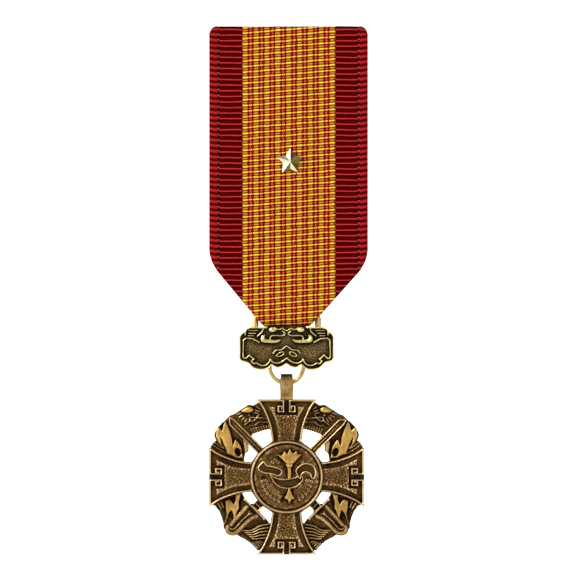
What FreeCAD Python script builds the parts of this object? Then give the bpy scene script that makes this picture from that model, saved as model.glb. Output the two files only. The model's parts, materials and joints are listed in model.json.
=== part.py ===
import FreeCAD, Part
import math
import os
from FreeCAD import Placement, Rotation, Vector

# Miniature service medal: ribbon on a pin brooch, suspension plate on a wire loop,
# split ring, and a cross with crossed swords on an openwork wreath.
# Frame: X to the wearer's left, Z up, the front of the medal faces -Y. The origin is the
# middle of the straight length of the brooch pin. A size called "..._fwd" is a distance
# forward of the pin's axis, that is along -Y.

SIZES = [
    # ribbon
    ("ribbon_half_width", 8.73),
    ("ribbon_top", 4.0),
    ("ribbon_layer", 0.33),
    ("ribbon_face_fwd", 1.98),
    ("ribbon_corner", 0.9),
    ("shoulder_top", -20.6),
    ("shoulder_low", -22.8),
    ("shoulder_inset", 0.8),
    ("fold_half_width", 2.55),
    ("turnover_end", 1.6),
    ("tail_end", -12.0),
    ("tail_start", -14.5),
    ("pleat_low", -24.6),
    ("pleat_top", -23.4),
    ("loop_notch_half", 3.02),
    ("loop_notch_top", -27.3),
    # brooch plate, hinge, pin and catch
    ("plate_thick", 0.6),
    ("plate_half_width", 8.4),
    ("plate_low", -3.3),
    ("plate_corner", 0.7),
    ("rivet_x", -5.42),
    ("rivet_radius", 0.3),
    ("rivet_head", 0.45),
    ("rivet_play", 0.03),
    ("eye_radius", 0.6),
    ("eye_half", 0.34),
    ("tab_inner", 0.37),
    ("tab_thick", 0.28),
    ("bracket_base", 0.28),
    ("bracket_half", 0.95),
    ("bracket_left", -6.7),
    ("bracket_right", -4.8),
    ("pin_radius", 0.3),
    ("pin_half_length", 4.9),
    ("pin_tip_x", 7.0),
    ("pin_tip_radius", 0.06),
    ("housing_start", 5.15),
    ("housing_long", 1.75),
    ("housing_inner", 0.72),
    ("housing_outer", 1.0),
    ("housing_slot", 0.84),
    ("barrel_outer", 0.69),
    ("barrel_inner", 0.42),
    ("barrel_slot", 0.8),
    ("barrel_long", 2.2),
    ("lever_start", 7.0),
    ("lever_thick", 0.35),
    ("lever_reach", 1.75),
    ("lever_wide", 0.6),
    # star
    ("star_x", 0.2),
    ("star_z", -10.86),
    ("star_radius", 1.47),
    ("star_inner", 0.82),
    ("star_edge", 0.16),
    ("star_rise", 0.5),
    ("prong_wide", 0.5),
    ("prong_thick", 0.14),
    ("prong_gap", 0.5),
    ("prong_reach", 0.75),
    # wire loop and suspension plate
    ("drop_x", -0.2),
    ("bar_fwd", 0.65),
    ("bar_z", -27.73),
    ("bar_channel", 0.34),
    ("loop_wire", 0.29),
    ("loop_half", 3.54),
    ("loop_low", -30.2),
    ("loop_bend", 0.5),
    ("loop_seam", 0.06),
    ("hanger_top", -29.12),
    ("hanger_thick", 1.0),
    ("hanger_back_fwd", 0.94),
    ("hanger_recess", 0.3),
    ("hanger_boss", 0.25),
    # lug, split ring and bail
    ("ring_fwd", 0.45),
    ("ring_z", -33.4),
    ("ring_radius", 1.86),
    ("ring_wire", 0.23),
    ("ring_split", 0.5),
    ("lug_wire", 0.2),
    ("lug_bend", 0.55),
    ("bail_half_depth", 0.72),
    ("bail_slot_half", 0.42),
    ("bail_top", -34.21),
    ("bail_slot_top", -34.75),
    ("bail_slot_low", -35.85),
    ("bail_top_width", 1.24),
    ("bail_ring_width", 1.53),
    ("bail_low_width", 1.41),
    ("bail_foot_top", -36.1),
    # planchet
    ("medal_z", -45.58),
    ("arm_length", 8.54),
    ("arm_end_half", 3.27),
    ("arm_mid_half", 1.98),
    ("arm_mid", 6.0),
    ("arm_neck_half", 1.6),
    ("hub_radius", 4.2),
    ("cross_back_fwd", 0.35),
    ("cross_thick", 0.9),
    ("key_rise", 0.14),
    ("key_line", 0.18),
    ("sword_thick", 0.5),
    ("sword_fit", 0.05),
    ("blade_wide", 0.85),
    ("blade_tip", 9.2),
    ("guard_at", 5.08),
    ("guard_half", 1.72),
    ("guard_wide", 0.3),
    ("knob_radius", 0.25),
    ("grip_wide", 0.7),
    ("grip_end", 8.2),
    ("pommel_at", 8.66),
    ("pommel_radius", 0.6),
    ("wreath_inner", 5.6),
    ("wreath_outer", 8.75),
    ("wreath_lobe", 9.12),
    ("wreath_under_arm", 8.18),
    ("wreath_thick", 0.5),
    ("wreath_hole_at", 7.45),
    ("disc_radius", 3.75),
    ("disc_thick", 0.3),
    ("emblem_rise", 0.2),
    ("rim_radius", 4.0),
    ("rim_thick", 0.5),
    ("core_rivet", 0.4),
    ("core_head", 0.8),
    ("core_head_thick", 0.2),
    # thread
    ("thread_radius", 0.11),
    ("stitch_long", 1.1),
    ("stitch_pitch", 2.0),
]

WREATH_LOBES = 8
WREATH_HOLES = 8
ARMS = 4
STAR_POINTS = 5
STITCHES = 8
QUARTER = 90.0
WREATH_HOLE_LONG = 0.62
WREATH_HOLE_WIDE = 0.36
THROUGH = "10"  # longer than any piece is thick

doc = FreeCAD.newDocument("service_medal")
sheet = doc.addObject("Spreadsheet::Sheet", "Sizes")
for row, (alias, value) in enumerate(SIZES, start=1):
    sheet.set("A%d" % row, alias)
    sheet.set("B%d" % row, str(value))
    sheet.setAlias("B%d" % row, alias)
doc.recompute()

nodes = []


def size(alias):
    """The value of one driving dimension."""
    return float(sheet.get(alias))


def bind(obj, prop, formula):
    """Ties a property to the sheet: a word in the formula that is an alias is a cell."""
    words = sorted((alias for alias, value in SIZES), key=len, reverse=True)
    out = ""
    token = ""
    for sign in formula + " ":
        if sign.isalnum() or sign == "_":
            token += sign
            continue
        out += "Sizes." + token if token in words else token
        out += sign
        token = ""
    obj.setExpression(prop, out.strip())


def keep(obj, label):
    """Names a finished sub-part and lists it for writing."""
    obj.Label = label
    nodes.append(obj)
    return obj


def new_body(label):
    body = doc.addObject("PartDesign::Body", "Body_" + label)
    return keep(body, label)


def origin_plane(body, role):
    for feature in body.Origin.OriginFeatures:
        if feature.Role == role:
            return feature
    raise ValueError(role)


def draw(body, role, edges, offset="0"):
    """A sketch on one of the body's own planes, moved along the plane's normal."""
    sketch = body.newObject("Sketcher::SketchObject", "Sketch")
    sketch.AttachmentSupport = [(origin_plane(body, role), "")]
    sketch.MapMode = "FlatFace"
    sketch.addGeometry(edges, False)
    bind(sketch, "AttachmentOffset.Base.z", offset)
    return sketch


def pad(body, sketch, length, midplane=False, backward=False):
    feature = body.newObject("PartDesign::Pad", "Pad")
    feature.Profile = sketch
    bind(feature, "Length", length)
    feature.Midplane = midplane
    feature.Reversed = backward
    doc.recompute()
    return feature


def pocket(body, sketch, length, midplane=False, backward=False):
    """Cuts a sketch into the body and checks that material went."""
    before = body.Shape.Volume
    feature = body.newObject("PartDesign::Pocket", "Pocket")
    feature.Profile = sketch
    bind(feature, "Length", length)
    feature.Midplane = midplane
    feature.Reversed = backward
    doc.recompute()
    assert body.Shape.Volume < before, body.Label + ": the pocket cut nothing"
    return feature


def around(body, feature, sketch, count):
    """Repeats a feature about the normal axis of its sketch."""
    pattern = body.newObject("PartDesign::PolarPattern", "Pattern")
    pattern.Originals = [feature]
    pattern.Axis = (sketch, ["N_Axis"])
    pattern.Angle = 360
    pattern.Occurrences = count
    body.Tip = pattern
    doc.recompute()
    return pattern


def flat(x, y):
    return Vector(x, y, 0)


def path(start, *steps):
    """Edges of a closed outline. A step is a point, or a pair of points for an arc."""
    edges = []
    at = flat(*start)
    for step in steps:
        if isinstance(step[0], tuple):
            middle = flat(*step[0])
            end = flat(*step[1])
            edges.append(Part.Arc(at, middle, end))
        else:
            end = flat(*step)
            edges.append(Part.LineSegment(at, end))
        at = end
    if at.distanceToPoint(flat(*start)) > 1e-6:
        edges.append(Part.LineSegment(at, flat(*start)))
    return edges


def box(low_x, low_y, high_x, high_y):
    return path((low_x, low_y), (high_x, low_y), (high_x, high_y), (low_x, high_y))


def circle(x, y, radius):
    return [Part.Circle(flat(x, y), Vector(0, 0, 1), radius)]


def polar(radius, degrees):
    angle = math.radians(degrees)
    return (radius * math.cos(angle), radius * math.sin(angle))


def mirrored(points):
    """A left half outline followed by its mirror image, top to bottom and back up."""
    return points + [(-x, z) for x, z in reversed(points)]


def primitive(kind, name, placement=None, **bindings):
    obj = doc.addObject(kind, name)
    for prop, formula in bindings.items():
        bind(obj, prop, formula)
    if placement is not None:
        obj.Placement = placement
    return obj


def fuse(name, parts):
    obj = doc.addObject("Part::MultiFuse", name)
    obj.Shapes = parts
    return obj


def cut(name, base, tool):
    obj = doc.addObject("Part::Cut", name)
    obj.Base = base
    obj.Tool = tool
    return obj


def group(name, parts):
    """Several separate solids of one kind as one node."""
    obj = doc.addObject("Part::Compound", name)
    obj.Links = parts
    return obj


ALONG_X = Rotation(Vector(0, 1, 0), 90)

# ---- ribbon ---------------------------------------------------------------------------


def make_ribbon():
    """One strip: over the plate's top edge, down the front, round the wire, up the back."""
    layer = size("ribbon_layer")
    front = -size("ribbon_face_fwd")
    inside = front + layer
    plate_back = inside + size("plate_thick")
    top = size("ribbon_top")
    turn_out = layer * math.sqrt(0.5)
    bar_y = -size("bar_fwd")
    bar_z = size("bar_z")
    outer = bar_y - front
    channel = size("bar_channel")
    pleat_low = size("pleat_low")
    pleat_top = size("pleat_top")
    back = bar_y + outer
    tail_low = size("tail_start")
    slope = (back - inside - layer) / (tail_low - bar_z)
    back_at_pleat = back - slope * (pleat_top - bar_z)
    body = new_body("ribbon")
    side = path(
        (front, bar_z),
        (front, top - layer),
        ((inside - turn_out, top - layer + turn_out), (inside, top)),
        (plate_back, top),
        ((plate_back + turn_out, top - layer + turn_out), (plate_back + layer, top - layer)),
        (plate_back + layer, size("turnover_end")),
        (plate_back, size("turnover_end")),
        (plate_back, top - layer),
        (inside, top - layer),
        (inside, size("tail_end")),
        (inside + layer, size("tail_end")),
        (inside + layer, tail_low),
        (back_at_pleat, pleat_top),
        (back, bar_z),
        ((bar_y, bar_z - outer), (front, bar_z)),
    )
    strip = draw(body, "YZ_Plane", side)
    pad(body, strip, "2 * ribbon_half_width", midplane=True)
    gap = path(
        (bar_y - channel, bar_z),
        ((bar_y, bar_z - channel), (bar_y + channel, bar_z)),
        (bar_y + channel, pleat_low),
        (back_at_pleat - layer, pleat_top),
        (inside, tail_low - layer / slope),
        (inside, pleat_top),
        (bar_y - channel, pleat_low),
    )
    hollow = draw(body, "YZ_Plane", gap)
    pocket(body, hollow, "3 * ribbon_half_width", midplane=True)
    trim = []
    wide = size("ribbon_half_width")
    beyond = wide + 1
    low = bar_z - outer
    corner = size("ribbon_corner")
    inset = size("shoulder_inset")
    for side_sign in (-1, 1):
        fold_x = size("drop_x") + side_sign * size("fold_half_width")
        trim += path(
            (side_sign * wide, size("shoulder_top")),
            (
                (side_sign * (wide - inset * 0.3), (size("shoulder_top") + size("shoulder_low")) / 2 - 0.1),
                (side_sign * (wide - inset), size("shoulder_low")),
            ),
            (fold_x, low),
            (fold_x, low - 1),
            (side_sign * beyond, low - 1),
            (side_sign * beyond, size("shoulder_top")),
        )
        bite = corner * (1 - math.sqrt(0.5))
        trim += path(
            (side_sign * (wide - corner), top),
            ((side_sign * (wide - bite), top - bite), (side_sign * wide, top - corner)),
            (side_sign * beyond, top - corner),
            (side_sign * beyond, top + 1),
            (side_sign * (wide - corner), top + 1),
        )
    edges = draw(body, "XZ_Plane", trim)
    pocket(body, edges, THROUGH, midplane=True)
    notches = []
    for side_sign in (-1, 1):
        near = size("drop_x") + side_sign * size("loop_notch_half")
        far = side_sign * wide
        notches += box(min(near, far), low - 1, max(near, far), size("loop_notch_top"))
    clearance = draw(body, "XZ_Plane", notches, "ribbon_face_fwd - ribbon_layer")
    pocket(body, clearance, THROUGH)
    slits = []
    for side_sign in (-1, 1):
        x = size("star_x") + side_sign * size("prong_gap")
        half = size("prong_thick") / 2
        low_z = size("star_z") - size("prong_wide") / 2
        slits += box(x - half, low_z, x + half, low_z + size("prong_wide"))
    holes = draw(body, "XZ_Plane", slits, "ribbon_face_fwd")
    pocket(body, holes, "ribbon_layer")


def make_stitches():
    """Running stitches that hold the ribbon's tail to its front layer."""
    tail_back = size("ribbon_layer") * 2 - size("ribbon_face_fwd")
    low = (size("tail_end") + size("tail_start")) / 2
    along_x = Rotation(Vector(0, 0, -1), Vector(0, 1, 0), Vector(1, 0, 0))
    row = []
    for index in range(STITCHES):
        x = (index - (STITCHES - 1) / 2) * size("stitch_pitch") - size("stitch_long") / 2
        turned = Placement(Vector(x, tail_back, low), along_x)
        stitch = primitive("Part::Cylinder", "Stitch", turned, Radius="thread_radius", Height="stitch_long")
        stitch.Angle = 180
        row.append(stitch)
    keep(group("Stitches", row), "ribbon_stitches")


# ---- brooch ---------------------------------------------------------------------------


def make_brooch_plate():
    wide = size("plate_half_width")
    top = size("ribbon_top") - size("ribbon_layer")
    low = size("plate_low")
    corner = size("plate_corner")
    bite = corner * (1 - math.sqrt(0.5))
    body = new_body("brooch_plate")
    outline = path(
        (wide - corner, low),
        ((wide - bite, low + bite), (wide, low + corner)),
        (wide, top - corner),
        ((wide - bite, top - bite), (wide - corner, top)),
        (corner - wide, top),
        ((bite - wide, top - bite), (-wide, top - corner)),
        (-wide, low + corner),
        ((bite - wide, low + bite), (corner - wide, low)),
    )
    face = draw(body, "XZ_Plane", outline, "ribbon_face_fwd - ribbon_layer - plate_thick")
    pad(body, face, "plate_thick")


def make_hinge_bracket():
    """A base on the plate with two ears that carry the rivet above and below the pin's eye."""
    body = new_body("hinge_bracket")
    half = size("bracket_half")
    base = draw(body, "XZ_Plane", box(size("bracket_left"), -half, size("bracket_right"), half),
                "ribbon_face_fwd - ribbon_layer - plate_thick - bracket_base")
    pad(body, base, "bracket_base")
    x = size("rivet_x")
    eye = size("eye_radius")
    foot = size("ribbon_layer") + size("plate_thick") + size("bracket_base") - size("ribbon_face_fwd")
    for start, backward in (("tab_inner", False), ("-tab_inner", True)):
        ear = path((x - eye, foot), (x + eye, foot), (x + eye, 0), ((x, eye), (x - eye, 0)))
        sketch = draw(body, "XY_Plane", ear, start)
        pad(body, sketch, "tab_thick", backward=backward)
    hole = draw(body, "XY_Plane", circle(x, 0, size("rivet_radius")))
    pocket(body, hole, "4 * bracket_half", midplane=True)


def make_hinge_rivet():
    body = new_body("hinge_rivet")
    shaft = size("tab_inner") + size("tab_thick")
    head = size("rivet_head")
    thin = size("rivet_radius")
    thick = head - thin
    half = path((0, -shaft - thick), (thin, -shaft - thick), (head, -shaft), (thin, -shaft),
                (thin, shaft), (head, shaft), (thin, shaft + thick), (0, shaft + thick))
    sketch = draw(body, "XZ_Plane", half)
    turn = body.newObject("PartDesign::Revolution", "Revolution")
    turn.Profile = sketch
    turn.ReferenceAxis = (sketch, ["V_Axis"])
    turn.Angle = 360
    bind(body, "Placement.Base.x", "rivet_x")


def make_pin():
    """A round wire with a flattened eye at the rivet and a long ground point."""
    eye = primitive("Part::Cylinder", "PinEye", Radius="eye_radius", Height="2 * eye_half")
    bind(eye, "Placement.Base.x", "rivet_x")
    bind(eye, "Placement.Base.z", "-eye_half")
    shaft = primitive("Part::Cylinder", "PinShaft", Placement(Vector(0, 0, 0), ALONG_X),
                      Radius="pin_radius", Height="pin_half_length - rivet_x")
    bind(shaft, "Placement.Base.x", "rivet_x")
    point = primitive("Part::Cone", "PinPoint", Placement(Vector(0, 0, 0), ALONG_X),
                      Radius1="pin_radius", Radius2="pin_tip_radius", Height="pin_tip_x - pin_half_length")
    bind(point, "Placement.Base.x", "pin_half_length")
    bore = primitive("Part::Cylinder", "PinBore", Radius="rivet_radius + rivet_play", Height="4 * eye_half")
    bind(bore, "Placement.Base.x", "rivet_x")
    bind(bore, "Placement.Base.z", "-2 * eye_half")
    keep(cut("Pin", fuse("PinSolid", [eye, shaft, point]), bore), "pin_stem")


def c_section(outer, inner, slot):
    """Section of a tube along X, split by a slot that faces +Y."""
    half = slot / 2
    return path(
        (math.sqrt(inner ** 2 - half ** 2), half),
        ((-inner, 0), (math.sqrt(inner ** 2 - half ** 2), -half)),
        (math.sqrt(outer ** 2 - half ** 2), -half),
        ((-outer, 0), (math.sqrt(outer ** 2 - half ** 2), half)),
    )


def make_catch_housing():
    body = new_body("catch_housing")
    section = c_section(size("housing_outer"), size("housing_inner"), size("housing_slot"))
    tube = draw(body, "YZ_Plane", section, "housing_start")
    pad(body, tube, "housing_long")
    plate_back = size("ribbon_layer") + size("plate_thick") - size("ribbon_face_fwd")
    foot_half = size("housing_outer") * 0.8
    mid_radius = (size("housing_outer") + size("housing_inner")) / 2
    neck_half = mid_radius * 0.7
    neck = -math.sqrt(mid_radius ** 2 - neck_half ** 2)
    foot = path(
        (plate_back, -foot_half),
        (plate_back, foot_half),
        (neck, neck_half),
        ((-mid_radius, 0), (neck, -neck_half)),
    )
    sketch = draw(body, "YZ_Plane", foot, "housing_start")
    pad(body, sketch, "housing_long")


def make_catch_lock():
    """A split barrel that turns in the housing by a lever and closes over the pin's point."""
    body = new_body("catch_lock")
    section = c_section(size("barrel_outer"), size("barrel_inner"), size("barrel_slot"))
    tube = draw(body, "YZ_Plane", section, "housing_start")
    pad(body, tube, "barrel_long")
    reach = size("lever_reach")
    half = size("lever_wide") / 2
    root = math.sqrt(size("barrel_inner") ** 2 - half ** 2) + 0.1
    lever = path((-half, root), (half, root), (half, reach - half), ((0, reach), (-half, reach - half)))
    sketch = draw(body, "YZ_Plane", lever, "lever_start")
    pad(body, sketch, "lever_thick")


# ---- star -----------------------------------------------------------------------------


def make_star():
    """A five-pointed star with a raised ridge to every point."""
    back = -size("ribbon_face_fwd")
    edge = back - size("star_edge")
    apex = Vector(0, edge - size("star_rise"), 0)
    low = []
    high = []
    for index in range(2 * STAR_POINTS):
        radius = size("star_radius") if index % 2 == 0 else size("star_inner")
        x, z = polar(radius, 90 + index * 180 / STAR_POINTS)
        low.append(Vector(x, back, z))
        high.append(Vector(x, edge, z))
    faces = [Part.Face(Part.makePolygon(low + low[:1]))]
    for index in range(2 * STAR_POINTS):
        after = (index + 1) % (2 * STAR_POINTS)
        side = [low[index], low[after], high[after], high[index], low[index]]
        faces.append(Part.Face(Part.makePolygon(side)))
        faces.append(Part.Face(Part.makePolygon([high[index], high[after], apex, high[index]])))
    solid = Part.Solid(Part.Shell(faces))
    if solid.Volume < 0:
        solid.reverse()
    star = doc.addObject("Part::Feature", "Star")
    star.Shape = solid
    star.Placement = Placement(Vector(size("star_x"), 0, size("star_z")), Rotation())
    keep(star, "star_device")


def make_star_prongs():
    """Two flat prongs through the ribbon, bent outwards behind its front layer."""
    prongs = []
    for side_sign in (-1, 1):
        leg = primitive("Part::Box", "ProngLeg", Length="prong_thick", Width="ribbon_layer + prong_thick",
                        Height="prong_wide")
        foot = primitive("Part::Box", "ProngFoot", Length="prong_reach", Width="prong_thick",
                         Height="prong_wide")
        bind(leg, "Placement.Base.x", "star_x + %d * prong_gap - prong_thick / 2" % side_sign)
        if side_sign > 0:
            bind(foot, "Placement.Base.x", "star_x + prong_gap - prong_thick / 2")
        else:
            bind(foot, "Placement.Base.x", "star_x - prong_gap + prong_thick / 2 - prong_reach")
        bind(leg, "Placement.Base.y", "-ribbon_face_fwd")
        bind(foot, "Placement.Base.y", "ribbon_layer - ribbon_face_fwd")
        for piece in (leg, foot):
            bind(piece, "Placement.Base.z", "star_z - prong_wide / 2")
        prongs.append(fuse("Prong", [leg, foot]))
    keep(group("Prongs", prongs), "star_prongs")


# ---- wire loop, suspension plate and lug ----------------------------------------------


def make_ribbon_loop():
    """A rectangle of round wire, its ends meeting at the middle of the lower side."""
    body = new_body("ribbon_loop")
    half = size("loop_half")
    bend = size("loop_bend")
    bite = bend * (1 - math.sqrt(0.5))
    top = size("bar_z")
    low = size("loop_low")
    seam = size("loop_seam") / 2
    corners = [
        ((-seam, low), (bend - half, low)),
        ((bend - half, low), (bite - half, low + bite), (-half, low + bend)),
        ((-half, low + bend), (-half, top - bend)),
        ((-half, top - bend), (bite - half, top - bite), (bend - half, top)),
        ((bend - half, top), (half - bend, top)),
        ((half - bend, top), (half - bite, top - bite), (half, top - bend)),
        ((half, top - bend), (half, low + bend)),
        ((half, low + bend), (half - bite, low + bite), (half - bend, low)),
        ((half - bend, low), (seam, low)),
    ]
    edges = []
    for corner in corners:
        points = [flat(*point) for point in corner]
        edges.append(Part.LineSegment(*points) if len(points) == 2 else Part.Arc(*points))
    spine = draw(body, "XZ_Plane", edges, "bar_fwd")
    section = draw(body, "YZ_Plane", circle(-size("bar_fwd"), low, size("loop_wire")), "-loop_seam / 2")
    wire = body.newObject("PartDesign::AdditivePipe", "Pipe")
    wire.Profile = section
    wire.Spine = (spine, ["Edge%d" % (index + 1) for index in range(len(edges))])
    wire.Mode = "Frenet"
    bind(body, "Placement.Base.x", "drop_x")
    doc.recompute()


def straight_sided(points):
    """A closed outline of straight lines through the given points."""
    return path(points[0], *points[1:])


def make_suspension_plate():
    """A cartouche with a raised rim, notched shoulders and a scalloped lower edge."""
    top = size("hanger_top")
    # left halves, as (x, distance below the top edge)
    rim = [(-2.5, 0), (-4.05, 0), (-4.5, 0.16), (-4.73, 0.56), (-5.06, 0.75), (-5.24, 1.08), (-5.24, 3.44),
           (-4.99, 3.73), (-4.5, 3.88), (-4.21, 4.06), (-3.77, 4.52), (-3.18, 4.66), (-2.45, 4.72),
           (-1.93, 4.51), (-1.6, 4.25), (-0.9, 4.43), (-0.4, 4.3)]
    field = [(-2.3, 0.5), (-3.3, 0.6), (-4.3, 0.9), (-4.72, 1.28), (-4.74, 3.18), (-4.4, 3.38),
             (-3.95, 3.33), (-3.6, 3.63), (-3.3, 4.13), (-2.5, 4.18), (-1.95, 3.73), (-1.6, 3.68),
             (-0.9, 3.9), (-0.4, 3.78)]
    crescent = [(-2.37, 0.88), (-2.67, 0.96), (-2.81, 1.3), (-2.67, 1.6), (-1.93, 1.68), (-1.05, 1.63),
                (-0.68, 1.38), (-1.5, 1.22)]

    def hung(points):
        return [(x, top - drop) for x, drop in points]

    body = new_body("suspension_plate")
    blank = draw(body, "XZ_Plane", straight_sided(mirrored(hung(rim))), "hanger_back_fwd")
    pad(body, blank, "hanger_thick")
    recess = draw(body, "XZ_Plane", straight_sided(mirrored(hung(field))), "hanger_back_fwd + hanger_thick")
    pocket(body, recess, "hanger_recess")
    for side_sign in (-1, 1):
        outline = straight_sided([(side_sign * x, z) for x, z in hung(crescent)])
        boss = draw(body, "XZ_Plane", outline, "hanger_back_fwd + hanger_thick - hanger_recess")
        pad(body, boss, "hanger_boss")
    bind(body, "Placement.Base.x", "drop_x")


def make_ring_lug():
    """A wire staple behind the plate, through which the split ring passes."""
    bend = size("lug_bend")
    wire = size("lug_wire")
    top = size("ring_z") + size("ring_radius")
    legs = "hanger_back_fwd - ring_fwd"
    forward = Placement(Vector(0, 0, 0), Rotation(Vector(1, 0, 0), -QUARTER))
    pieces = []
    for sign in ("", "-"):
        leg = primitive("Part::Cylinder", "LugLeg", forward, Radius="lug_wire", Height=legs)
        bind(leg, "Placement.Base.x", "drop_x")
        bind(leg, "Placement.Base.y", "-hanger_back_fwd")
        bind(leg, "Placement.Base.z", "ring_z + ring_radius + %s lug_bend" % sign)
        pieces.append(leg)
    arch = doc.addObject("Part::Torus", "LugArch")
    bind(arch, "Radius1", "lug_bend")
    bind(arch, "Radius2", "lug_wire")
    arch.Angle3 = 180
    arch.Placement = Placement(Vector(size("drop_x"), -size("ring_fwd"), top),
                               Rotation(Vector(0, 0, -1), Vector(0, 1, 0), Vector(1, 0, 0)))
    pieces.append(arch)
    assert bend > wire + size("ring_wire"), "the ring doesn't fit the lug"
    keep(fuse("Lug", pieces), "ring_lug")


def make_split_ring():
    """One turn of round wire with its ends butted beside the lug."""
    ring = doc.addObject("Part::Torus", "Ring")
    bind(ring, "Radius1", "ring_radius")
    bind(ring, "Radius2", "ring_wire")
    bind(ring, "Angle3", "360 - ring_split")
    ring.Placement = Placement(Vector(size("drop_x"), -size("ring_fwd"), size("ring_z")),
                               Rotation(Vector(1, 0, 0), QUARTER))
    keep(ring, "split_ring")


# ---- bail and planchet ----------------------------------------------------------------


def make_bail():
    """A cast eye with a slot for the ring, soldered on the cross's upper arm."""
    body = new_body("bail")
    deep = size("bail_half_depth")
    slot = size("bail_slot_half")
    top = size("bail_top")
    arch = top - deep
    foot_top = size("bail_foot_top")
    foot = size("medal_z") + size("arm_length")
    middle = -size("ring_fwd")
    foot_back = -size("cross_back_fwd")
    foot_front = foot_back - size("cross_thick") * 0.8
    profile = path(
        (middle - deep, arch),
        ((middle, top), (middle + deep, arch)),
        (middle + deep, size("bail_slot_low")),
        (foot_back, foot_top - 0.2),
        (foot_back, foot),
        (foot_front, foot),
        (foot_front, foot_top - 0.2),
        (middle - deep, size("bail_slot_low")),
    )
    sketch = draw(body, "YZ_Plane", profile)
    pad(body, sketch, "2 * bail_ring_width", midplane=True)
    slot_top = size("bail_slot_top") - slot
    slot_low = size("bail_slot_low") + slot
    eye = path(
        (middle - slot, slot_top),
        ((middle, slot_top + slot), (middle + slot, slot_top)),
        (middle + slot, slot_low),
        ((middle, slot_low - slot), (middle - slot, slot_low)),
    )
    hole = draw(body, "YZ_Plane", eye)
    pocket(body, hole, "3 * bail_ring_width", midplane=True)
    ring_low = size("ring_z") - size("ring_radius")
    sides = []
    for sign in (-1, 1):
        edge = [(size("bail_top_width") / 2, top + 1), (size("bail_top_width") / 2, top),
                (size("bail_ring_width") / 2, ring_low), (size("bail_low_width") / 2, foot_top),
                (size("bail_low_width") / 2, foot - 1), (3, foot - 1), (3, top + 1)]
        sides += straight_sided([(sign * x, z) for x, z in edge])
    trim = draw(body, "XZ_Plane", sides)
    pocket(body, trim, THROUGH, midplane=True)
    bind(body, "Placement.Base.x", "drop_x")


def place_on_medal(body):
    bind(body, "Placement.Base.x", "drop_x")
    bind(body, "Placement.Base.z", "medal_z")


def band(points, wide):
    """Outline of a band that follows a path with square turns."""
    half = wide / 2
    left = []
    right = []
    count = len(points)
    for index, (x, z) in enumerate(points):
        before = points[max(index - 1, 0)]
        after = points[min(index + 1, count - 1)]
        ins = Vector(x - before[0], z - before[1], 0) if index > 0 else Vector(after[0] - x, after[1] - z, 0)
        outs = Vector(after[0] - x, after[1] - z, 0) if index < count - 1 else ins
        ins = Vector(ins).normalize()
        outs = Vector(outs).normalize()
        bisector = ins + outs
        bisector.normalize()
        reach = half / bisector.dot(outs)
        left.append((x - bisector.y * reach, z + bisector.x * reach))
        right.append((x + bisector.y * reach, z - bisector.x * reach))
    return straight_sided(left + right[::-1])


def make_cross():
    """Four flared arms and a hub in one piece, channelled behind for the swords."""
    body = new_body("cross")
    end_half = size("arm_end_half")
    length = size("arm_length")
    mid_half = size("arm_mid_half")
    mid = size("arm_mid")
    neck_half = size("arm_neck_half")
    hub = size("hub_radius")
    neck = math.sqrt(hub ** 2 - neck_half ** 2)
    steps = []
    for index in range(ARMS):
        spin = math.radians(index * QUARTER)

        def at(x, z):
            return (x * math.cos(spin) - z * math.sin(spin), x * math.sin(spin) + z * math.cos(spin))

        diagonal = hub * math.sqrt(0.5)
        steps += [
            (at(mid_half, mid), at(end_half, length)),
            at(-end_half, length),
            (at(-mid_half, mid), at(-neck_half, neck)),
            (at(-diagonal, diagonal), at(-neck, neck_half)),
        ]
    outline = path((neck_half, neck), *steps)
    blank = draw(body, "XZ_Plane", outline, "cross_back_fwd")
    pad(body, blank, "cross_thick")
    channel_half = (size("blade_wide") + size("sword_fit")) / 2
    long_half = hub * 1.2
    for degrees in (45, -45):
        angle = math.radians(degrees)
        along = (math.cos(angle), math.sin(angle))
        across = (-along[1], along[0])
        corners = []
        for a, b in ((-1, -1), (1, -1), (1, 1), (-1, 1)):
            corners.append((a * long_half * along[0] + b * channel_half * across[0],
                            a * long_half * along[1] + b * channel_half * across[1]))
        sketch = draw(body, "XZ_Plane", straight_sided(corners), "cross_back_fwd")
        pocket(body, sketch, "sword_thick", backward=True)
    bore = draw(body, "XZ_Plane", circle(0, 0, size("core_rivet")), "cross_back_fwd")
    pocket(body, bore, "2 * cross_thick", backward=True)
    line = size("key_line")
    rows = [8.4, 7.19, 7.79, 7.49]
    columns = [0.34, 0.91, 0.52]
    for sign in (-1, 1):
        key = [(sign * 3.0, rows[0]), (sign * columns[0], rows[0]), (sign * columns[0], rows[1]),
               (sign * columns[1], rows[1]), (sign * columns[1], rows[2]), (sign * columns[2], rows[2]),
               (sign * columns[2], rows[3])]
        sketch = draw(body, "XZ_Plane", band(key, line), "cross_back_fwd + cross_thick")
        raised = pad(body, sketch, "key_rise")
        around(body, raised, sketch, ARMS)
    place_on_medal(body)


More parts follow.
